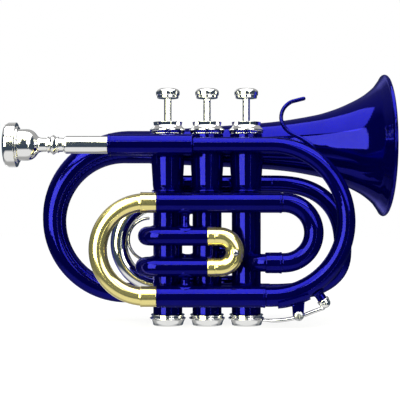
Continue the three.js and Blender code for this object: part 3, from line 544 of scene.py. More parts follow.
def curve(points, steps=4):
    """Radius and height at points on a smooth curve through the given ones."""
    return [(point.x, point.y) for point in smooth_through([(*point, 0) for point in points], steps)]


def stations_on(places):
    """Stations at the places of a smooth curve, each heading from its neighbours."""
    places = [Vector(place) for place in places]
    stations = []
    along = 0.0
    for i, place in enumerate(places):
        along += (place - places[i - 1]).length if i else 0.0
        heading = places[min(i + 1, len(places) - 1)] - places[max(i - 1, 0)]
        stations.append(Station(place, heading.normalized(), along))
    return stations


def route(*corners):
    """Stations on straight runs with bends between: a corner is x, y, z and its bend's radius."""
    points = [Vector(corner[:3]) for corner in corners]
    stations = [Station(points[0], (points[1] - points[0]).normalized(), 0.0)]

    def go_on(place, heading, travelled):
        stations.append(Station(place, heading, stations[-1].along + travelled))

    for i, bend in [(i, corner[3]) for i, corner in enumerate(corners[:-1]) if i]:
        before = (points[i] - points[i - 1]).normalized()
        after = (points[i + 1] - points[i]).normalized()
        sweep = before.angle(after)
        axis = before.cross(after).normalized()
        begin = points[i] - before * bend * math.tan(sweep / 2)
        centre = begin + axis.cross(before) * bend
        run = (begin - stations[-1].place).length
        if run > JOINED:
            go_on(begin, before, run)
        steps = max(3, math.ceil(sweep / BEND_STEP))
        for step in range(1, steps + 1):
            turn = Quaternion(axis, sweep * step / steps)
            go_on(centre + turn @ (begin - centre), turn @ before, bend * sweep / steps)
    run = (points[-1] - stations[-1].place).length
    if run > JOINED:
        go_on(points[-1], stations[-1].heading, run)
    return stations


def from_end(stations, distance):
    """A station on the straight run at the start, or at the end for a negative distance."""
    end = stations[-1] if distance < 0 else stations[0]
    return Station(end.place + end.heading * distance, end.heading, end.along + distance)


def carried(stations):
    """A frame for each station, its side carried along the bends without twist."""
    side = Vector(ALONG if abs(stations[0].heading.y) > 0.9 else AWAY)
    frames = []
    for station in stations:
        side = (side - station.heading * side.dot(station.heading)).normalized()
        turn = Matrix((side, station.heading.cross(side), station.heading)).transposed()
        frames.append(Matrix.Translation(station.place) @ turn.to_4x4())
    return frames


def supported(stations, *radii):
    """Adds a station near each end of the straight runs, so that they stay flat in the light."""
    rows = list(zip(stations, *radii))
    full = rows[:1]
    for before, after in zip(rows, rows[1:]):
        run = after[0].along - before[0].along
        if run > 6 * RUN_SUPPORT:
            for share in (RUN_SUPPORT / run, 1 - RUN_SUPPORT / run):
                mixed = [start + (end - start) * share for start, end in zip(before[1:], after[1:])]
                place = before[0].place.lerp(after[0].place, share)
                full.append((Station(place, after[0].heading, before[0].along + run * share), *mixed))
        full.append(after)
    return [list(column) for column in zip(*full)]


def tube(stations, outer, bore=None, thick=None, sides=TUBE_SIDES, rounding=EDGE_ROUND):
    """A pipe drawn ring by ring along its stations, or a bar where it has no bore.

    outer, bore and thick hold a radius for each station; thick is across the ring's side.
    """
    if bore:
        stations, outer, bore = supported(stations, outer, bore)
    frames = carried(stations)
    thick = thick or outer
    rings = [(place, wide, deep) for place, wide, deep in zip(frames, outer, thick)]
    if bore:
        rings += [(place, wide, wide) for place, wide in zip(reversed(frames), reversed(bore))]
        rings.append(rings[0])
    shaped = [place @ Matrix.Diagonal((wide, deep, 1, 1)) for place, wide, deep in rings]
    bm = bmesh.new()
    bmesh.ops.create_circle(bm, segments=sides, radius=1, matrix=shaped[0])
    first = bm.edges[:]
    edges = first
    for before, after in zip(shaped, shaped[1:]):
        made = bmesh.ops.extrude_edge_only(bm, edges=edges)["geom"]
        moved = {part for part in made if isinstance(part, bmesh.types.BMVert)}
        edges = [
            part for part in made
            if isinstance(part, bmesh.types.BMEdge) and moved.issuperset(part.verts)
        ]
        bmesh.ops.transform(bm, matrix=after @ before.inverted(), verts=list(moved))
    if not bore:
        bmesh.ops.contextual_create(bm, geom=first)
        bmesh.ops.contextual_create(bm, geom=edges)
    tidy(bm)
    round_edges(bm, rounding)
    return bm


# The solder that widens a tube where it meets a casing: distance from its end and widening
SOLDER = ((2.2, 0.0), (1.5, 0.12), (0.9, 0.35), (0.0, 0.75))


def soldered(context, corners, radius, wall, number, casing=None):
    """A pipe that is coped to a valve's casing, with a ring of solder round the joint."""
    casing = casing or sizes(context, "trumpet_valves").casing_radius
    stations = route(*corners)
    collars = [from_end(stations, -distance) for distance, _ in SOLDER[:-1]]
    outer = [radius] * (len(stations) - 1) + [radius + widening for _, widening in SOLDER]
    placed = stations[:-1] + collars + stations[-1:]
    bm = tube(placed, outer, [radius - wall] * len(placed))
    cope(bm, placed[-1], SOLDER[0][0], VALVES[number], casing - 0.2)
    return bm


def cope(bm, end, reach, valve_x, casing_radius):
    """Moves the last of a tube on to the round of an upright casing, with its rings."""
    for vert in bm.verts:
        from_place = vert.co - end.place
        beside = from_place - end.heading * from_place.dot(end.heading)
        if from_place.dot(end.heading) > -reach - JOINED and beside.length < casing_radius:
            centre = Vector((valve_x, 0, vert.co.z))
            along = (end.place - centre).dot(end.heading)
            offset = vert.co - centre
            across = offset - end.heading * offset.dot(end.heading)
            room = max(casing_radius**2 - across.length_squared, 0)
            vert.co += end.heading * (-math.sqrt(room) - along)


def crook(corners, leg, ferrule, leg_radius, ferrule_radius, bow_radius):
    """A slide crook in one piece: leg, ferrule with its end ring, bow, and the same again."""
    stations = route(*corners)
    total = stations[-1].along
    ring = 0.14
    end = leg + ferrule
    marks = [
        (leg, leg_radius), (leg, ferrule_radius), (end - 0.7, ferrule_radius),
        (end - 0.6, ferrule_radius + ring), (end, ferrule_radius + ring), (end, bow_radius),
    ]
    near = [(from_end(stations, along), radius) for along, radius in marks]
    far = [(from_end(stations, -along), radius) for along, radius in reversed(marks)]
    bow = [(station, bow_radius) for station in stations if end < station.along < total - end]
    ends = (stations[0], leg_radius), (stations[-1], leg_radius)
    placed = [ends[0], *near, *bow, *far, ends[1]]
    outer = [radius for _, radius in placed]
    wall = [leg_radius - TUBE_WALL] * len(placed)
    return tube([station for station, _ in placed], outer, wall, rounding=0.11)


def u_turn(start, bow_x, end, plane, first, second):
    """Corners of a tube that runs along X at one height, and comes back at another."""
    bend = abs(first - second) / 2
    far = bow_x + math.copysign(bend, bow_x - start)
    return (
        (start, plane, first), (far, plane, first, bend), (far, plane, second, bend),
        (end, plane, second),
    )


def set_piece(context, name, bm, *nodes, slot="blue_lacquer"):
    """Finishes a shape as a piece that rides where its CAD nodes do, and stands for them."""
    tidy(bm)
    bmesh.ops.scale(bm, vec=(MM, MM, MM), verts=bm.verts)
    mesh = bpy.data.meshes.new(name)
    bm.to_mesh(mesh)
    bm.free()
    mesh.shade_smooth()
    mesh.set_sharp_from_angle(angle=CRISP_ANGLE)
    mesh.materials.append(finish_of(context, slot))
    piece = bpy.data.objects.new(name, mesh)
    context.collection.objects.link(piece)
    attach(piece, frame["nodes"][nodes[0]]["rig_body"])
    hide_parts(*nodes)
    return piece


def turn_piece(context, name, outline, place, heading, node, slot="blue_lacquer",
               sides=TURNED_SIDES):
    """Turns a piece about its own axis, and sets it along a heading."""
    set_piece(context, name, laid(turned(outline, sides), place, heading), node, slot=slot)


def middle_x(node):
    """The middle of a CAD node along X, in millimetres."""
    low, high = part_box(node)
    return (low.x + high.x) / 2 / MM


VALVES = {number: middle_x(f"valve_casing_{number}") for number in (1, 2, 3)}


# ---- Valves


class TRUMPET_OT_casings(Operator):
    """Turns the three valve casings, with their seats and barrels"""

    bl_idname = "trumpet.casings"
    bl_label = "Valve Casings"

    def execute(self, context):
        valve = sizes(context, "trumpet_valves")
        seat = valve.seat_radius
        barrel = valve.barrel_radius
        ring = seat + 0.7
        outline = [
            (CASING_BORE, CASING_BOTTOM, 0.15), (valve.casing_radius, CASING_BOTTOM, 0.2),
            (valve.casing_radius, SEAT_HEIGHT - 1.5, 0.2), (ring, SEAT_HEIGHT - 0.9, 0.2),
            (ring - 0.07, SEAT_HEIGHT - 0.25, 0.2), (seat - 0.45, SEAT_HEIGHT + 0.1, 0.1),
            (seat, SEAT_HEIGHT + 3.1, 0.1),
            *curve((
                (seat, 89.8), (seat + 0.04, 91.0), (seat + 0.22, 93.9), (seat + 0.45, 97.0),
                (barrel - 0.08, 100.4), (barrel, 103.0),
            )),
            (barrel, CASING_TOP, 0.3), (BARREL_BORE, CASING_TOP, 0.1),
            (BARREL_BORE, BARREL_FULL), (CASING_BORE, BARREL_FULL),
        ]
        for number, x in VALVES.items():
            turn_piece(context, f"casing_{number}", outline, (x, 0, 0), UP, f"valve_casing_{number}")
        return {"FINISHED"}


def knurl(bm, low, high):
    """Cuts ribs into a turned edge between two heights."""
    for vert in bm.verts:
        if low < vert.co.z < high and vert.co.xy.length > PISTON_RADIUS:
            angle = math.atan2(vert.co.y, vert.co.x)
            cut = KNURL_DEPTH * (0.5 - 0.5 * math.cos(KNURL_RIBS * angle))
            vert.co.xy -= vert.co.xy.normalized() * cut


class TRUMPET_OT_caps(Operator):
    """Turns the top and bottom caps, and cuts the knurling on the top caps' skirts"""

    bl_idname = "trumpet.caps"
    bl_label = "Valve Caps"

    def execute(self, context):
        valve = sizes(context, "trumpet_valves")
        wide = valve.cap_radius
        hole = valve.stem_radius + 0.3
        skirt = wide - 0.5
        top = [
            (hole, CAP_BASE), (skirt - 0.8, CAP_BASE, 0.15), (skirt - 0.62, CAP_BASE + 0.35),
            (skirt - 0.1, CAP_BASE + 1.65), (skirt, CAP_BASE + 2.0, 0.1),
            (wide, CAP_BASE + 2.0, 0.2),
            *curve((
                (wide, 124.9), (10.85, 125.4), (10.1, 126.0), (9.35, 126.7), (8.95, 127.2),
                (8.82, 127.4),
            )),
            (8.8, 127.45), (9.3, CAP_TOP - 0.1, 0.06), (9.2, CAP_TOP, 0.06),
            (hole + 1.0, CAP_TOP, 0.2), (hole, CAP_TOP - 0.5),
        ]
        collar = wide - 0.75
        foot = [
            (0, 0), (7.2, 0, 0.2), (7.6, 0.25, 0.2), (9.6, 0.1, 0.6), (10.1, 2.0, 0.8),
            (10.9, FOOT_FLANGE, 0.3), (wide, FOOT_FLANGE + 0.6, 0.15),
            (wide, FOOT_FLANGE + 1.0, 0.2), (collar, 5.2, 0.1), (collar - 0.5, 5.5, 0.1),
            (collar - 0.5, 6.3, 0.1), (collar, 6.5, 0.12), (collar, FOOT_TOP, 0.2),
            (CASING_BORE, FOOT_TOP), (CASING_BORE, FOOT_FLOOR), (0, FOOT_FLOOR),
        ]
        for number, x in VALVES.items():
            cap = turned(top, KNURLED_SIDES)
            knurl(cap, CAP_BASE + 0.3, CAP_BASE + 1.7)
            set_piece(context, f"cap_{number}", laid(cap, (x, 0, 0)), f"top_cap_{number}",
                      slot="silver_plate")
            turn_piece(context, f"foot_cap_{number}", foot, (x, 0, 0), UP,
                       f"bottom_cap_{number}", "silver_plate")
        return {"FINISHED"}


def wind_spring(context, number, x):
    """Winds a valve's spring, which its piston squashes."""
    coil = []
    steps = SPRING_TURNS * 32
    for step in range(steps + 1):
        angle = 2 * math.pi * SPRING_TURNS * step / steps
        height = SPRING_LOW + (SPRING_HIGH - SPRING_LOW) * step / steps
        coil.append((x + SPRING_RADIUS * math.cos(angle), SPRING_RADIUS * math.sin(angle), height))
    bm = tube(stations_on(coil), [SPRING_WIRE] * len(coil), sides=10, rounding=0)
    spring = set_piece(context, f"wound_spring_{number}", bm, f"valve_spring_{number}", slot="steel")
    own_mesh(spring)


class TRUMPET_OT_pistons(Operator):
    """Turns the pistons, their stems and finger buttons, and winds their springs"""

    bl_idname = "trumpet.pistons"
    bl_label = "Pistons, Buttons and Springs"

    def execute(self, context):
        valve = sizes(context, "trumpet_valves")
        foot_bore = PISTON_RADIUS - 1.4
        head_bore = PISTON_RADIUS - 1.7
        stem_top = BUTTON_BOTTOM - 0.3
        wide = valve.button_radius
        parts = (
            ("piston", "piston", "steel", [
                (0, PISTON_WEB), (foot_bore, PISTON_WEB), (foot_bore, PISTON_BOTTOM),
                (PISTON_RADIUS, PISTON_BOTTOM, 0.3), (PISTON_RADIUS, PISTON_TOP, 0.3),
                (head_bore, PISTON_TOP), (head_bore, PISTON_FLOOR), (0, PISTON_FLOOR),
            ]),
            ("stem", "valve_stem", "silver_plate", [
                (0, STEM_BOTTOM), (valve.stem_radius, STEM_BOTTOM, 0.2),
                (valve.stem_radius, stem_top, 0.1), (0, stem_top),
            ]),
            ("button", "finger_button", "silver_plate", [
                (0, BUTTON_BOTTOM), (wide - 0.75, BUTTON_BOTTOM, 0.35), (wide - 0.75, 146.8, 0.15),
                (wide - 0.1, 146.9, 0.4),
                *curve((
                    (wide, 148.8), (wide - 0.25, 149.7), (wide - 1.0, 150.5), (wide - 2.3, 151.1),
                    (wide - 3.6, 151.2), (wide - 4.6, 151.1), (wide - 5.8, 150.8),
                )),
                (0, 150.6),
            ]),
        )
        for number, x in VALVES.items():
            for name, node, slot, outline in parts:
                turn_piece(context, f"turned_{name}_{number}", outline, (x, 0, 0), UP,
                           f"{node}_{number}", slot)
            wind_spring(context, number, x)
        return {"FINISHED"}


# ---- Blowing end


class TRUMPET_OT_mouthpiece(Operator):
    """Turns the mouthpiece: rim, cup, beaded neck and shank"""

    bl_idname = "trumpet.mouthpiece"
    bl_label = "Mouthpiece"

    def execute(self, context):
        part = sizes(context, "trumpet_mouthpiece")
        rim = part.rim_radius
        neck = part.neck_radius
        shank = part.shank_radius
        outline = [
            (8.6, 1.1, 0.4), (10.3, 0.1, 1.0), (12.6, 0.25, 1.4), (rim, 2.0, 1.4),
            (rim, 7.6, 0.3), (11.7, 7.75, 0.2), (11.4, 8.8, 0.35), (10.0, 9.05, 0.2),
            *curve((
                (part.cup_radius, 9.8), (part.cup_radius, 12.2), (9.62, 14.9), (8.95, 17.0),
                (7.6, 18.8), (6.1, 20.0), (4.9, 21.1), (neck, 22.8), (neck - 0.1, 25.9),
            )),
            (neck, 26.5, 0.1), (neck + 0.65, 26.7, 0.2), (neck + 0.65, 27.4, 0.2),
            (neck + 0.1, 27.6, 0.05),
            *curve((
                (neck + 0.2, 27.9), (5.2, 28.5), (part.bead_radius, 29.8),
                (part.bead_radius, 30.4), (5.2, 31.6), (neck + 0.2, 32.3),
            )),
            (neck + 0.1, 32.6, 0.05), (neck + 0.6, 32.8, 0.2), (neck + 0.6, 33.4, 0.2),
            (neck, 33.6, 0.1), (neck - 0.1, 36.3), (neck + 0.15, 36.9), (5.1, 37.4, 0.2),
            (shank, 38.0, 0.5), (shank, 64.0, 0.15), (4.6, 64.0, 0.1), (4.2, 86.3, 0.2),
            (3.04, 86.3, 0.2),
            *curve(((1.9, 14.0), (2.5, 12.0), (4.8, 9.6), (7.4, 5.6), (8.3, 2.2)), 5),
        ]
        turn_piece(context, "turned_mouthpiece", outline, (MOUTHPIECE_X, NEAR, BLOWING), ALONG,
                   "mouthpiece", "silver_plate", sides=96)
        return {"FINISHED"}


class TRUMPET_OT_leadpipe(Operator):
    """Turns the receiver, and draws the leadpipe with the large bow that it runs into"""

    bl_idname = "trumpet.leadpipe"
    bl_label = "Receiver, Leadpipe and Large Bow"

    def execute(self, context):
        radius = sizes(context, "trumpet_tubes")
        bore = radius.leadpipe - 0.85
        collar = radius.receiver + 0.3
        run = RECEIVER_END - RECEIVER_X
        receiver = [
            (4.9, 0, 0.2), (collar, 0, 0.25), (collar, 1.5, 0.2), (radius.receiver, 1.7, 0.1),
            (radius.receiver, run, 0.9), (bore, run), (bore, 24.0), (4.9, 24.0),
        ]
        turn_piece(context, "turned_receiver", receiver, (RECEIVER_X, NEAR, BLOWING), ALONG,
                   "mouthpiece_receiver")
        stations = route(*u_turn(RECEIVER_END + FIT_GAP, NEAR_BOW_X, LOWER_SLEEVE_END + FIT_GAP,
                                 NEAR, BLOWING, LOWER))
        run = NEAR_BOW_X - RECEIVER_END
        arc = math.pi * (BLOWING - LOWER) / 2
        outer = []
        for station in stations:
            share = min(max((station.along - run) / arc, 0), 1)
            outer.append(radius.leadpipe + (radius.large_bow_end - radius.leadpipe) * share)
        bm = tube(stations, outer, [wide - TUBE_WALL for wide in outer])
        set_piece(context, "large_bow", bm, "leadpipe_bow", "leadpipe")
        return {"FINISHED"}


def ringed(wide, run):
    """The end of a sleeve's section, with the ring that strengthens its mouth."""
    return [(wide, run - 1.3, 0.1), (wide + 0.2, run - 1.2, 0.1), (wide + 0.2, run, 0.15)]


class TRUMPET_OT_sleeves(Operator):
    """Draws the two sleeves of the tuning slide, with the ring at each end"""

    bl_idname = "trumpet.sleeves"
    bl_label = "Tuning Slide Sleeves"

    def execute(self, context):
        radius = sizes(context, "trumpet_tubes")
        for name, wide, end, height in (
            ("lower", radius.lower_sleeve, LOWER_SLEEVE_END, LOWER),
            ("upper", radius.upper_sleeve, UPPER_SLEEVE_END, UPPER),
        ):
            bore = wide - SLEEVE_WALL
            run = end - SLEEVE_START
            outline = [
                (bore, 0, 0.1), (wide + 0.2, 0, 0.15), (wide + 0.2, 1.2, 0.1), (wide, 1.3, 0.1),
                *ringed(wide, run), (bore, run, 0.1),
            ]
            turn_piece(context, f"{name}_sleeve", outline, (SLEEVE_START, NEAR, height), ALONG,
                       f"{name}_slide_sleeve")
        return {"FINISHED"}


class TRUMPET_OT_tuning_slide(Operator):
    """Draws the gold brass crook of the tuning slide"""

    bl_idname = "trumpet.tuning_slide"
    bl_label = "Tuning Slide"

    def execute(self, context):
        radius = sizes(context, "trumpet_tubes")
        inside = SLEEVE_START + TUNING_LEG
        corners = u_turn(inside, TUNING_BOW_X, inside, NEAR, UPPER, LOWER)
        bm = crook(corners, TUNING_LEG + FIT_GAP, ferrule=9.8, leg_radius=5.35, ferrule_radius=6.45,
                   bow_radius=radius.tuning_bow)
        set_piece(context, "tuning_bow", bm, "tuning_crook", slot="gold_brass")
        return {"FINISHED"}


class TRUMPET_OT_entry(Operator):
    """Draws the entry bow, and the elbow that carries it into the third valve"""

    bl_idname = "trumpet.entry"
    bl_label = "Entry Bow and Elbow"

    def execute(self, context):
        valve = sizes(context, "trumpet_valves")
        radius = sizes(context, "trumpet_tubes")
        start = UPPER_SLEEVE_END + FIT_GAP
        wide = radius.entry_bow
        stations = route(*u_turn(start, ENTRY_BOW_X, start, NEAR, UPPER, ENTRY))
        bm = tube(stations, [wide] * len(stations), [wide - TUBE_WALL] * len(stations))
        set_piece(context, "entry_bend", bm, "entry_bow")
        meets = VALVES[3] + ELBOW_STEP * valve.casing_radius / -NEAR
        corners = (
            (UPPER_SLEEVE_END - 1, NEAR, ENTRY), (VALVES[3] + ELBOW_STEP, NEAR, ENTRY, ELBOW_BEND),
            (meets, -valve.casing_radius, ENTRY),
        )
        bm = soldered(context, corners, ELBOW_RADIUS, TUBE_WALL, 3)
        set_piece(context, "entry_knuckle", bm, "entry_elbow")
        mouth = wide + 0.4
        run = UPPER_SLEEVE_END - FERRULE_X
        outline = [
            (5.65, 0, 0.1), (mouth - 0.3, 0, 0.3), (mouth, 0.5, 0.2), *ringed(mouth, run),
            (5.65, run, 0.1),
        ]
        turn_piece(context, "entry_ferrule", outline, (FERRULE_X, NEAR, ENTRY), ALONG,
                   "entry_elbow")
        return {"FINISHED"}


# ---- Valve slides


def draw_sleeve(context, slide, name, corners, radius, number):
    """Draws a sleeve of a valve's slide, soldered to the valve's casing."""
    bm = soldered(context, corners, radius, SLEEVE_WALL, number)
    set_piece(context, f"{slide}_{name}_sleeve", bm, f"{slide}_sleeve_{name}")


class TRUMPET_OT_first_slide(Operator):
    """Draws the first slide: its hooked sleeves, its brass crook and its silver pull knob"""

    bl_idname = "trumpet.first_slide"
    bl_label = "First Valve Slide"

    def execute(self, context):
        sleeve = sizes(context, "trumpet_tubes").first_sleeve
        bend = -NEAR / 2
        for name, height, turn in (("upper", FIRST_UPPER, 3.9), ("lower", FIRST_LOWER, 5.5)):
            left = VALVES[1] - turn - bend
            corners = (
                (FIRST_SLEEVE_END, NEAR, height), (left, NEAR, height, bend),
                (left, 0, height, bend), (VALVES[1] - 7, 0, height),
            )
            draw_sleeve(context, "first", name, corners, sleeve, 1)
        inside = FIRST_SLEEVE_END - FIRST_LEG
        corners = u_turn(inside, FIRST_BOW_X, inside, NEAR, FIRST_UPPER, FIRST_LOWER)
        bm = crook(corners, FIRST_LEG + FIT_GAP, ferrule=5.1, leg_radius=sleeve - LEG_STEP,
                   ferrule_radius=sleeve - 0.1, bow_radius=FIRST_BOW)
        set_piece(context, "first_bow", bm, "first_crook", slot="gold_brass")
        foot = FIRST_BOW - 0.25
        knob = [
            (0, foot), (1.9, foot, 0.2), (1.1, foot + 0.7, 0.2), (1.1, foot + 1.6, 0.1),
            (2.1, foot + 1.8, 0.25), (2.1, foot + 3.2, 0.5), (1.4, foot + 4.3, 0.4),
            (0, foot + 4.4),
        ]
        fold = (FIRST_UPPER - FIRST_LOWER) / 2
        turn_piece(context, "pull_knob", knob, (FIRST_BOW_X + fold, NEAR, FIRST_LOWER + fold),
                   (0, -1, 0), "first_slide_knob", "silver_plate", sides=32)
        return {"FINISHED"}


class TRUMPET_OT_second_slide(Operator):
    """Draws the second slide behind the middle valve"""

    bl_idname = "trumpet.second_slide"
    bl_label = "Second Valve Slide"

    def execute(self, context):
        valve = sizes(context, "trumpet_valves")
        sleeve = sizes(context, "trumpet_tubes").second_sleeve
        x = VALVES[2]
        for name, height in (("upper", SECOND_UPPER), ("lower", SECOND_LOWER)):
            corners = (x, SECOND_SLEEVE_END, height), (x, valve.casing_radius, height)
            draw_sleeve(context, "second", name, corners, sleeve, 2)
        fold = (SECOND_UPPER - SECOND_LOWER) / 2
        out = SECOND_SLEEVE_END + 3 + FIT_GAP + fold
        inside = SECOND_SLEEVE_END - SECOND_LEG
        corners = (
            (x, inside, SECOND_UPPER), (x, out, SECOND_UPPER, fold), (x, out, SECOND_LOWER, fold),
            (x, inside, SECOND_LOWER),
        )
        bm = crook(corners, SECOND_LEG + FIT_GAP, ferrule=3, leg_radius=sleeve - LEG_STEP,
                   ferrule_radius=sleeve - 0.1, bow_radius=4.7)
        set_piece(context, "second_bow", bm, "second_crook", slot="gold_brass")
        return {"FINISHED"}


class TRUMPET_OT_third_slide(Operator):
    """Draws the third slide: its sleeves, its silver crook and the finger ring"""

    bl_idname = "trumpet.third_slide"
    bl_label = "Third Valve Slide"

    def execute(self, context):
        sleeve = sizes(context, "trumpet_tubes").third_sleeve
        for name, height in (("upper", THIRD_UPPER), ("lower", THIRD_LOWER)):
            corners = (
                (THIRD_SLEEVE_END, THIRD_PLANE, height), (VALVES[3], THIRD_PLANE, height, 7),
                (VALVES[3], 7.6, height),
            )
            draw_sleeve(context, "third", name, corners, sleeve, 3)
        inside = THIRD_SLEEVE_END + THIRD_LEG
        corners = u_turn(inside, THIRD_BOW_X, inside, THIRD_PLANE, THIRD_UPPER, THIRD_LOWER)
        bm = crook(corners, THIRD_LEG + FIT_GAP, ferrule=2.6, leg_radius=4.95, ferrule_radius=5.75,
                   bow_radius=5.6)
        set_piece(context, "third_bow", bm, "third_crook", slot="silver_plate")
        places = []
        for step in range(61):
            angle = math.pi / 2 + math.pi * 1.1 * step / 60
            places.append((RING_X + RING_RADIUS * math.cos(angle), THIRD_PLANE,
                           RING_HEIGHT + RING_RADIUS * math.sin(angle)))
        bm = tube(stations_on(places), [1.0] * len(places), sides=WIRE_SIDES, rounding=0.5)
        set_piece(context, "finger_ring", bm, "third_finger_ring", slot="silver_plate")
        return {"FINISHED"}


# ---- Tubes to the bell


def draw_far_bow(context, first, last):
    """Draws the far bow, a full curve that leans away as it falls."""
    places = []
    for step in range(49):
        angle = math.pi * step / 48
        fall = math.cos(angle)
        drop = math.copysign(abs(fall) ** FAR_BOW_FULLNESS, fall)
        rise = EXIT - FAR_BOW_MIDDLE if drop > 0 else FAR_BOW_MIDDLE - RETURN
        places.append((
            FAR_BOW_X + FAR_BOW_WIDTH * abs(math.sin(angle)) ** FAR_BOW_FULLNESS,
            EXIT_PLANE + (RETURN_PLANE - EXIT_PLANE) * (1 - drop) / 2, FAR_BOW_MIDDLE + rise * drop,
        ))
    stations = stations_on(places)
    total = stations[-1].along
    outer = [first + (last - first) * station.along / total for station in stations]
    bm = tube(stations, outer, [wide - TUBE_WALL for wide in outer])
    set_piece(context, "far_bend", bm, "far_bow")


def draw_bell_bow(context, start, joined, middle, end):
    """Draws the return tube and the bell bow, which leans and droops towards the bell."""
    bend = (BELL_LINE - RETURN) / 2
    straight = FAR_BOW_X - FIT_GAP - BELL_BOW_X
    leaning = []
    outer = []
    for place, heading, along in route(*u_turn(
        FAR_BOW_X - FIT_GAP, BELL_BOW_X, BELL_START - FIT_GAP, RETURN_PLANE, RETURN, BELL_LINE
    )):
        share = min(max((along - straight) / (math.pi * bend), 0), 1)
        lean = Vector((0, (BELL_PLANE - RETURN_PLANE) * share, -BELL_DROOP * share))
        leaning.append(Station(place + lean, heading, along))
        if along < straight:
            outer.append(start + 0.5 * along / straight)
        elif share < 0.5:
            outer.append(joined + (middle - joined) * share * 2)
        else:
            outer.append(middle + (end - middle) * (share * 2 - 1))
    bm = tube(leaning, outer, [wide - TUBE_WALL for wide in outer], sides=64)
    set_piece(context, "bell_bend", bm, "bell_bow")


class TRUMPET_OT_far_tubes(Operator):
    """Draws the exit tube, the far bow and the bell bow that they lead to"""

    bl_idname = "trumpet.far_tubes"
    bl_label = "Exit Tube, Far Bow and Bell Bow"

    def execute(self, context):
        valve = sizes(context, "trumpet_valves")
        radius = sizes(context, "trumpet_tubes")
        corners = (
            (FAR_BOW_X, EXIT_PLANE, EXIT), (VALVES[1], EXIT_PLANE, EXIT, 7.9),
            (VALVES[1], 8.5, EXIT),
        )
        bm = soldered(context, corners, radius.exit_tube, TUBE_WALL, 1, valve.seat_radius)
        set_piece(context, "exit_pipe", bm, "exit_tube")
        draw_far_bow(context, first=radius.exit_tube, last=5.9)
        draw_bell_bow(context, radius.return_tube, joined=6.6, middle=7.7, end=10.8)
        return {"FINISHED"}


class TRUMPET_OT_bell(Operator):
    """Spins the bell with its flare and its rolled rim"""

    bl_idname = "trumpet.bell"
    bl_label = "Bell"

    def execute(self, context):
        bell = sizes(context, "trumpet_bell")
        throat = bell.throat_radius
        bead = bell.rim_bead
        bead_x = BELL_MOUTH_X - bead
        centre = bell.mouth_radius - bead
        points = [
            (bell.stem_radius, BELL_START), (12.4, BELL_START + 25), (13.9, BELL_START + 50.5),
            (throat, BELL_THROAT_X),
        ]
        for along, up in FLARE:
            points.append((throat + (centre - throat) * up,
                           BELL_THROAT_X + (bead_x - bead - BELL_THROAT_X) * along))
        outside = curve(points, 9)
        rolled = []
        for step in range(1, 12):
            angle = math.radians(-95 + 25 * step)
            rolled.append((centre + bead * math.cos(angle), bead_x + bead * math.sin(angle)))
        inside = [(radius - bell.wall, along) for radius, along in reversed(outside)]
        bm = turned(outside + rolled + inside, BELL_SIDES)
        laid(bm, (0, BELL_PLANE, BELL_LINE), ALONG)
        level_x = BELL_THROAT_X + 20
        for vert in bm.verts:
            vert.co.z -= BELL_DROOP * max(level_x - vert.co.x, 0) / (level_x - BELL_START)
        set_piece(context, "spun_bell", bm, "bell")
        joint = [(10.7, -1.6, 0.1), (11.1, -1.6, 0.3), (11.1, 1.6, 0.3), (10.7, 1.6, 0.1)]
        turn_piece(context, "bell_joint_ring", joint,
                   (BELL_START, BELL_PLANE, BELL_LINE - BELL_DROOP), ALONG, "bell")
        return {"FINISHED"}


# ---- Ports, braces, hook and water key


def saddle(bm, height, radius, side):
    """Wraps an end of an upright brace round its tube, which is above for side 1, below for -1."""
    for vert in bm.verts:
        if (height - vert.co.z) * side < radius + 1.6:
            room = max(radius**2 - vert.co.y**2, 0.2)
            vert.co.z += (radius - math.sqrt(room)) * side


def turn_brace(context, name, low, low_radius, high, high_radius):
    """Turns a waisted brace that stands between two of the near tubes."""
    start = low + low_radius
    end = high - high_radius
    outline = [
        (0, start - 0.2), (5.2, start - 0.2, 0.1), (5.2, start + 0.5, 0.25),
        *curve((
            (4.6, start + 0.7), (2.9, start + 1.2), (2.7, (start + end) / 2), (2.9, end - 1.2),
            (4.6, end - 0.7),
        )),
        (5.2, end - 0.5, 0.25), (5.2, end + 0.2, 0.1), (0, end + 0.2),
    ]
    bm = turned(outline, 48)
    saddle(bm, low, low_radius, -1)
    saddle(bm, high, high_radius, 1)
    brace_x = (VALVES[1] + VALVES[2]) / 2 - 1.1
    set_piece(context, f"{name}_brace", laid(bm, (brace_x, NEAR, 0)), f"near_brace_{name}")


def turn_bell_post(context, number, start):
    """Turns the post that ties a valve's casing to the bell."""
    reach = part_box(f"bell_brace_{number}")[1].y / MM + 0.6
    outline = [
        (0, start), (4.5, start, 0.1), (4.5, start + 1.9, 0.3), (3.0, start + 2.4, 0.4),
        (2.4, start + 3.2, 0.4), (3.0, reach - 1.6, 0.4), (4.5, reach - 1.2, 0.3),
        (4.5, reach, 0.1), (0, reach),
    ]
    turn_piece(context, f"bell_post_{number}", outline, (VALVES[number], 0, BELL_POST_HEIGHT),
               AWAY, f"bell_brace_{number}", sides=48)


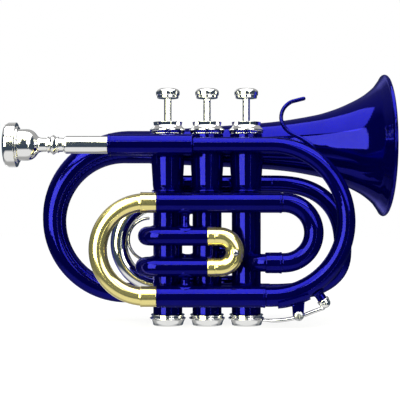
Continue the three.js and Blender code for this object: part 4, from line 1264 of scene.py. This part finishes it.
class TRUMPET_OT_braces(Operator):
    """Makes the ports between the casings, and the braces of the tubes and the bell"""

    bl_idname = "trumpet.braces"
    bl_label = "Ports and Braces"

    def execute(self, context):
        valve = sizes(context, "trumpet_valves")
        radius = sizes(context, "trumpet_tubes")
        for left, right, height in ((1, 2, PORT_LOW), (2, 3, PORT_HIGH)):
            middle = (VALVES[left] + VALVES[right]) / 2
            for side, number in ((-1, left), (1, right)):
                end = VALVES[number] - side * valve.casing_radius
                corners = (middle, 0, height), (end, 0, height)
                bm = soldered(context, corners, PORT_RADIUS, TUBE_WALL, number)
                set_piece(context, f"port_{left}{right}_{number}", bm,
                          f"valve_port_{left}_{right}")
        turn_brace(context, "upper", FIRST_UPPER, radius.first_sleeve, UPPER, radius.upper_sleeve)
        turn_brace(context, "lower", LOWER, radius.lower_sleeve, FIRST_LOWER, radius.first_sleeve)
        for number in (1, 3):
            turn_bell_post(context, number, valve.barrel_radius - 1.2)
        return {"FINISHED"}


def rounded_off(left, run):
    """How wide a rounded end still is, at a distance from its tip."""
    return math.sqrt(max(1 - (1 - min(left / run, 1)) ** 2, 0.03))


class TRUMPET_OT_finger_hook(Operator):
    """Bends the finger hook that stands on the large bow"""

    bl_idname = "trumpet.finger_hook"
    bl_label = "Finger Hook"

    def execute(self, context):
        stations = stations_on(smooth_through([
            (67.6, NEAR, 111.9), (66.0, NEAR, 113.1), (62.5, NEAR, 115.9), (58.0, NEAR, 118.6),
            (51.6, NEAR, 121.9), (48.0, NEAR, 125.4), (46.0, NEAR, 130.7), (47.4, NEAR, 136.6),
            (51.6, NEAR, 140.7), (56.0, NEAR, 142.1), (61.2, NEAR, 143.4),
        ], 6))
        total = stations[-1].along
        outer = []
        for station in stations:
            foot = min(1.0, 0.45 + station.along / 5)
            left = max(total - station.along, 0.0)
            tip = math.sqrt(max(1 - (1 - min(left / HOOK_RADIUS, 1)) ** 2, 0.02))
            outer.append(HOOK_RADIUS * foot * tip)
        for extra in (0.9, 0.6, 0.35, 0.15):
            stations.insert(-1, from_end(stations, -extra))
            outer.insert(-1, HOOK_RADIUS * math.sqrt(1 - (1 - extra / HOOK_RADIUS) ** 2))
        bm = tube(stations, outer, sides=WIRE_SIDES, rounding=0)
        set_piece(context, "hook", bm, "finger_hook")
        return {"FINISHED"}


def bend_key_arm(context):
    """Bends the key's arm, which is flat and widens to a touch at one end."""
    stations = stations_on(smooth_through([
        (33.4, NEAR, 5.5), (36.0, NEAR, 5.3), (40.5, NEAR, 5.0), (47.0, NEAR, 5.3),
        (52.5, NEAR, 6.2), (56.6, NEAR, 7.2), (61.0, NEAR, 8.6), (66.0, NEAR, 10.6),
        (70.0, NEAR, 12.0), (73.0, NEAR, 12.8),
    ], 6))
    total = stations[-1].along
    wide = []
    deep = []
    for station in stations:
        touch = math.exp(-((station.along - 2.6) / 3.2) ** 2)
        start = rounded_off(station.along, 2.0)
        end = rounded_off(total - station.along, 1.5)
        wide.append((1.45 + 1.25 * touch) * start * end)
        deep.append((1.25 - 0.4 * touch) * (0.4 + 0.6 * start) * (0.4 + 0.6 * end))
    bm = tube(stations, wide, thick=deep, sides=24, rounding=0)
    set_piece(context, "key_arm", bm, "water_key_lever", slot="silver_plate")


def cut_ear(context, name, side):
    """Cuts one of the two ears that hold the key's screw."""
    bm = bmesh.new()
    outline = []
    for step in range(13):
        angle = math.pi + math.pi * step / 12
        outline.append((3.1 * math.cos(angle), 3.1 * math.sin(angle)))
    outline += [(3.6, 7.5), (4.2, 12.0), (-4.2, 9.0), (-3.6, 6.0)]
    near_face = NEAR + side * 3.1 - 0.55
    face = bm.faces.new([bm.verts.new((PIVOT.x + x, near_face, PIVOT.z + z)) for x, z in outline])
    made = bmesh.ops.extrude_face_region(bm, geom=[face])["geom"]
    moved = [part for part in made if isinstance(part, bmesh.types.BMVert)]
    bmesh.ops.translate(bm, vec=(0, 1.1, 0), verts=moved)
    tidy(bm)
    round_edges(bm, 0.2)
    set_piece(context, f"bracket_ear_{name}", bm, "water_key_bracket")


def out_of_bow(degrees):
    """The way out of the large bow at an angle above its middle."""
    angle = math.radians(degrees)
    return Vector((math.cos(angle), 0, math.sin(angle)))


def bend_bracket_foot(context):
    """Bends the bracket's foot round the large bow."""
    bend = (BLOWING - LOWER) / 2
    steps = 10
    stations = []
    for step in range(steps + 1):
        degrees = FOOT_START + (FOOT_END - FOOT_START) * step / steps
        out = out_of_bow(degrees)
        place = BOW_CENTRE + out * bend
        stations.append(Station(place, Vector((-out.z, 0, out.x)), bend * abs(math.radians(degrees))))
    bm = tube(stations, [7.75] * len(stations), [6.3] * len(stations), rounding=0)
    out = out_of_bow((FOOT_START + FOOT_END) / 2)
    bmesh.ops.bisect_plane(
        bm, geom=bm.verts[:] + bm.edges[:] + bm.faces[:], dist=JOINED,
        plane_co=BOW_CENTRE + out * (bend + 2.6), plane_no=-out, clear_outer=True,
    )
    bmesh.ops.holes_fill(bm, edges=[edge for edge in bm.edges if edge.is_boundary])
    tidy(bm)
    round_edges(bm, 0.25)
    set_piece(context, "bracket_foot", bm, "water_key_bracket")


def saw_screw(context):
    """Turns the screw, and saws the slot across its head."""
    bm = turned([
        (0, -3.6), (1.0, -3.6, 0.2), (1.0, 3.95), (3.0, 3.95, 0.15), (3.0, 4.4, 0.2),
        (2.5, 4.9, 0.3), (1.8, 5.15, 0.3), (0, 5.25),
    ], 40)
    for side in (-1, 1):
        bmesh.ops.bisect_plane(
            bm, geom=bm.verts[:] + bm.edges[:] + bm.faces[:], dist=JOINED,
            plane_co=(0, 0.5 * side, 0), plane_no=AWAY,
        )
    strip = []
    for face in bm.faces:
        middle = face.calc_center_median()
        if middle.z > 4.5 and abs(middle.y) < 0.48:
            strip.append(face)
    made = bmesh.ops.extrude_face_region(bm, geom=strip)["geom"]
    moved = [part for part in made if isinstance(part, bmesh.types.BMVert)]
    bmesh.ops.translate(bm, vec=(0, 0, -0.7), verts=moved)
    bmesh.ops.delete(bm, geom=strip, context="FACES_ONLY")
    bmesh.ops.rotate(bm, cent=(0, 0, 0), matrix=Matrix.Rotation(1.4, 3, "Z"), verts=bm.verts)
    set_piece(context, "slotted_screw", laid(bm, PIVOT, (0, -1, 0)), "water_key_screw", slot="steel")


BOW_CENTRE = Vector((NEAR_BOW_X, NEAR, (BLOWING + LOWER) / 2))
PIVOT = Vector((56.6, NEAR, 8.2))


class TRUMPET_OT_water_key(Operator):
    """Makes the water key: nipple, bracket, lever with its cup, cork pad and screw"""

    bl_idname = "trumpet.water_key"
    bl_label = "Water Key"

    def execute(self, context):
        for name, node, slot, sides, outline in (
            ("nipple", "water_key_nipple", "blue_lacquer", 40, [
                (1.6, 52.6), (4.6, 52.6, 0.2), (4.2, 53.9, 0.3), (3.1, 54.6, 0.3), (3.0, 55.4),
                (3.0, 58.6, 0.3), (1.6, 58.6, 0.2),
            ]),
            ("cork_pad", "water_key_pad", "cork", 40, [
                (0, 58.9), (2.8, 58.9, 0.25), (2.8, 60.9, 0.1), (0, 60.9),
            ]),
            ("key_cup", "water_key_lever", "silver_plate", 48, [
                (0, 61.2), (3.1, 61.2), (3.1, 58.7, 0.1), (3.9, 58.7, 0.3), (3.9, 60.4, 0.2),
                (3.5, 60.7, 0.2), (3.6, 61.2, 0.3), (3.3, 63.0, 0.9), (1.9, 64.2, 0.8), (0, 64.5),
            ]),
        ):
            turn_piece(context, name, outline, BOW_CENTRE, out_of_bow(NIPPLE_ANGLE), node, slot, sides)
        bend_key_arm(context)
        barrel = [
            (1.3, -2.2, 0.1), (2.2, -2.2, 0.25), (2.2, -1.5, 0.1), (1.95, -1.3), (1.95, 1.3),
            (2.2, 1.5, 0.1), (2.2, 2.2, 0.25), (1.3, 2.2, 0.1),
        ]
        turn_piece(context, "key_barrel", barrel, PIVOT, AWAY, "water_key_lever", "silver_plate",
                   sides=36)
        cut_ear(context, "near", -1)
        cut_ear(context, "far", 1)
        bend_bracket_foot(context)
        saw_screw(context)
        return {"FINISHED"}


# ---- Stage

CAMERA_X = -4.5
CAMERA_HEIGHT = 80.0
CAMERA_DISTANCE = 635.0
CAMERA_LENS = 89.3
FLOOR_RADIUS = 3.0


def softbox(context, name, brightness, spread, direction, warmth=0.0, distance=6.0):
    """A distant flat light, its spread and direction in degrees across and up.

    It faces the trumpet. Across, 0 is the camera's side and 90 is the bell's. Warmth takes
    blue out of it, which bright metal hides and the lacquer shows as lilac.
    """
    light = bpy.data.lights.new(name, "AREA")
    light.shape = "RECTANGLE"
    light.size, light.size_y = (
        2 * distance * math.tan(math.radians(angle / 2)) for angle in spread
    )
    light.energy = brightness * math.pi * light.size * light.size_y
    light.color = (1, 1, 1 - warmth)
    across, up = (math.radians(angle) for angle in direction)
    level = math.cos(up)
    towards = Vector((math.sin(across) * level, -math.cos(across) * level, math.sin(up)))
    placed = bpy.data.objects.new(name, light)
    placed.location = Vector((0, 0, CAMERA_HEIGHT * MM)) + towards * distance
    placed.rotation_euler = towards.to_track_quat("Z", "Y").to_euler()
    placed.visible_camera = False
    context.collection.objects.link(placed)


def lay_floor(context):
    """Lays a pale floor that fades into the light background."""
    bm = bmesh.new()
    bmesh.ops.create_circle(bm, cap_ends=True, segments=96, radius=FLOOR_RADIUS)
    mesh = bpy.data.meshes.new("floor")
    bm.to_mesh(mesh)
    bm.free()
    floor = bpy.data.objects.new("floor", mesh)
    material = bpy.data.materials.new("pale_floor")
    material.use_nodes = True
    finish = Finish(material.node_tree)
    place = finish.node("ShaderNodeTexCoord")["Object"]
    away = finish.node("ShaderNodeVectorMath", {"operation": "LENGTH"}, place)["Value"]
    fade = finish.node(
        "ShaderNodeMapRange", {"interpolation_type": "SMOOTHSTEP"}, away, 0.1, 1.6, 0.88, 1.0
    )["Result"]
    grain = finish.noise(30, 3)
    tint = finish.mixed(grain, (0.88, 0.88, 0.88, 1), (0.92, 0.92, 0.915, 1))
    matt = finish.node("ShaderNodeBsdfDiffuse", None, Color=tint)["BSDF"]
    glow = finish.node("ShaderNodeEmission", None, (1, 1, 1, 1), 1.0)["Emission"]
    both = finish.node("ShaderNodeMixShader", None, fade, matt, glow)["Shader"]
    finish.output(both)
    mesh.materials.append(material)
    floor.visible_glossy = False
    floor.visible_shadow = False
    context.collection.objects.link(floor)


def hang_lights(context):
    """Hangs the soft boxes, and paints the dim studio that the metal reflects."""
    softbox(context, "overhead", 4.4, (86, 63), (0, 74.5))
    softbox(context, "left_box", 9.0, (39.4, 46), (-33.1, 14), warmth=0.38)
    softbox(context, "right_box", 3.5, (36, 25), (30, 16.5))
    softbox(context, "right_slit", 7.0, (1.2, 50), (28, -10), warmth=0.3)
    softbox(context, "front_strip", 10.0, (52, 5), (24, 39.5), warmth=0.35, distance=3.0)
    world = context.scene.world or bpy.data.worlds.new("studio")
    context.scene.world = world
    world.use_nodes = True
    finish = Finish(world.node_tree)
    place = finish.node("ShaderNodeTexCoord")["Generated"]
    part = finish.node("ShaderNodeSeparateXYZ", None, place)
    up = part["Z"] * 0.5 + 0.5
    slate = (0.045, 0.065, 0.095)
    front_stops = ((0.0, 0.85), (0.19, 0.85), (0.26, slate), (0.8, slate), (0.9, 0.3))
    back_stops = ((0.0, 0.4), (0.25, 0.4), (0.33, slate), (0.6, slate), (0.72, 0.42))
    front = finish.node("ShaderNodeValToRGB", {"stops": front_stops}, up)["Color"]
    back = finish.node("ShaderNodeValToRGB", {"stops": back_stops}, up)["Color"]
    behind = finish.node("ShaderNodeClamp", None, part["Y"] * 4)["Result"]
    grazing = finish.node("ShaderNodeClamp", None, part["Y"] * 6 - 4.4)["Result"]
    beside = finish.node("ShaderNodeClamp", None, part["X"] * -6 - 0.8)["Result"]
    slanted = finish.node("ShaderNodeClamp", None, part["Z"] * part["Z"] * 30 - 0.6)["Result"]
    shade = finish.mixed(behind, front, back)
    shade = finish.mixed(beside * slanted * grazing, shade, (1.6, 1.6, 1.6, 1))
    studio = finish.node("ShaderNodeBackground", None, shade, 1.0)["Background"]
    paper = finish.node("ShaderNodeBackground", None, (1, 1, 1, 1), 1.0)["Background"]
    seen = finish.node("ShaderNodeLightPath")["Is Camera Ray"]
    both = finish.node("ShaderNodeMixShader", None, seen, studio, paper)["Shader"]
    finish.output(both, "ShaderNodeOutputWorld")
    context.scene.view_settings.view_transform = "Standard"


def place_camera(context):
    """Sets the camera at the photo's angle."""
    camera = bpy.data.cameras.new("camera")
    camera.lens = CAMERA_LENS
    camera.sensor_width = 36
    camera.clip_start = 0.01
    placed = bpy.data.objects.new("camera", camera)
    placed.location = (CAMERA_X * MM, -CAMERA_DISTANCE * MM, CAMERA_HEIGHT * MM)
    placed.rotation_euler = (math.pi / 2, 0, 0)
    context.collection.objects.link(placed)
    context.scene.camera = placed


class TRUMPET_OT_stage(Operator):
    """Sets the pale floor, the soft studio light and the camera"""

    bl_idname = "trumpet.stage"
    bl_label = "Stage"

    def execute(self, context):
        lay_floor(context)
        hang_lights(context)
        place_camera(context)
        return {"FINISHED"}


# ---- Add-on

OPERATORS = (
    TRUMPET_OT_casings, TRUMPET_OT_caps, TRUMPET_OT_pistons, TRUMPET_OT_mouthpiece,
    TRUMPET_OT_leadpipe, TRUMPET_OT_sleeves, TRUMPET_OT_tuning_slide, TRUMPET_OT_entry,
    TRUMPET_OT_first_slide, TRUMPET_OT_second_slide, TRUMPET_OT_third_slide,
    TRUMPET_OT_far_tubes, TRUMPET_OT_bell, TRUMPET_OT_braces, TRUMPET_OT_finger_hook,
    TRUMPET_OT_water_key, TRUMPET_OT_stage,
)
GROUPS = {
    "trumpet_valves": ValveSizes,
    "trumpet_mouthpiece": MouthpieceSizes,
    "trumpet_tubes": TubeSizes,
    "trumpet_bell": BellSizes,
    "trumpet_colours": FinishColours,
}


class TRUMPET_PT_pieces(Panel):
    """Lists the trumpet's sizes, colours and pieces"""

    bl_idname = "TRUMPET_PT_pieces"
    bl_label = "Pocket Trumpet"
    bl_space_type = "VIEW_3D"
    bl_region_type = "UI"
    bl_category = "Trumpet"

    def draw(self, context):
        for name, group in GROUPS.items():
            box = self.layout.box()
            box.label(text=group.__doc__)
            for key in group.__annotations__:
                box.prop(getattr(context.scene, name), key)
        for operator in OPERATORS:
            self.layout.operator(operator.bl_idname)


CLASSES = (*GROUPS.values(), *OPERATORS, TRUMPET_PT_pieces)


def register():
    for cls in CLASSES:
        bpy.utils.register_class(cls)
    for name, group in GROUPS.items():
        setattr(bpy.types.Scene, name, PointerProperty(type=group))


def unregister():
    for name in GROUPS:
        delattr(bpy.types.Scene, name)
    for cls in reversed(CLASSES):
        bpy.utils.unregister_class(cls)


def main():
    register()
    for operator in OPERATORS:
        group, name = operator.bl_idname.split(".")
        getattr(getattr(bpy.ops, group), name)()


if __name__ == "__main__":
    main()
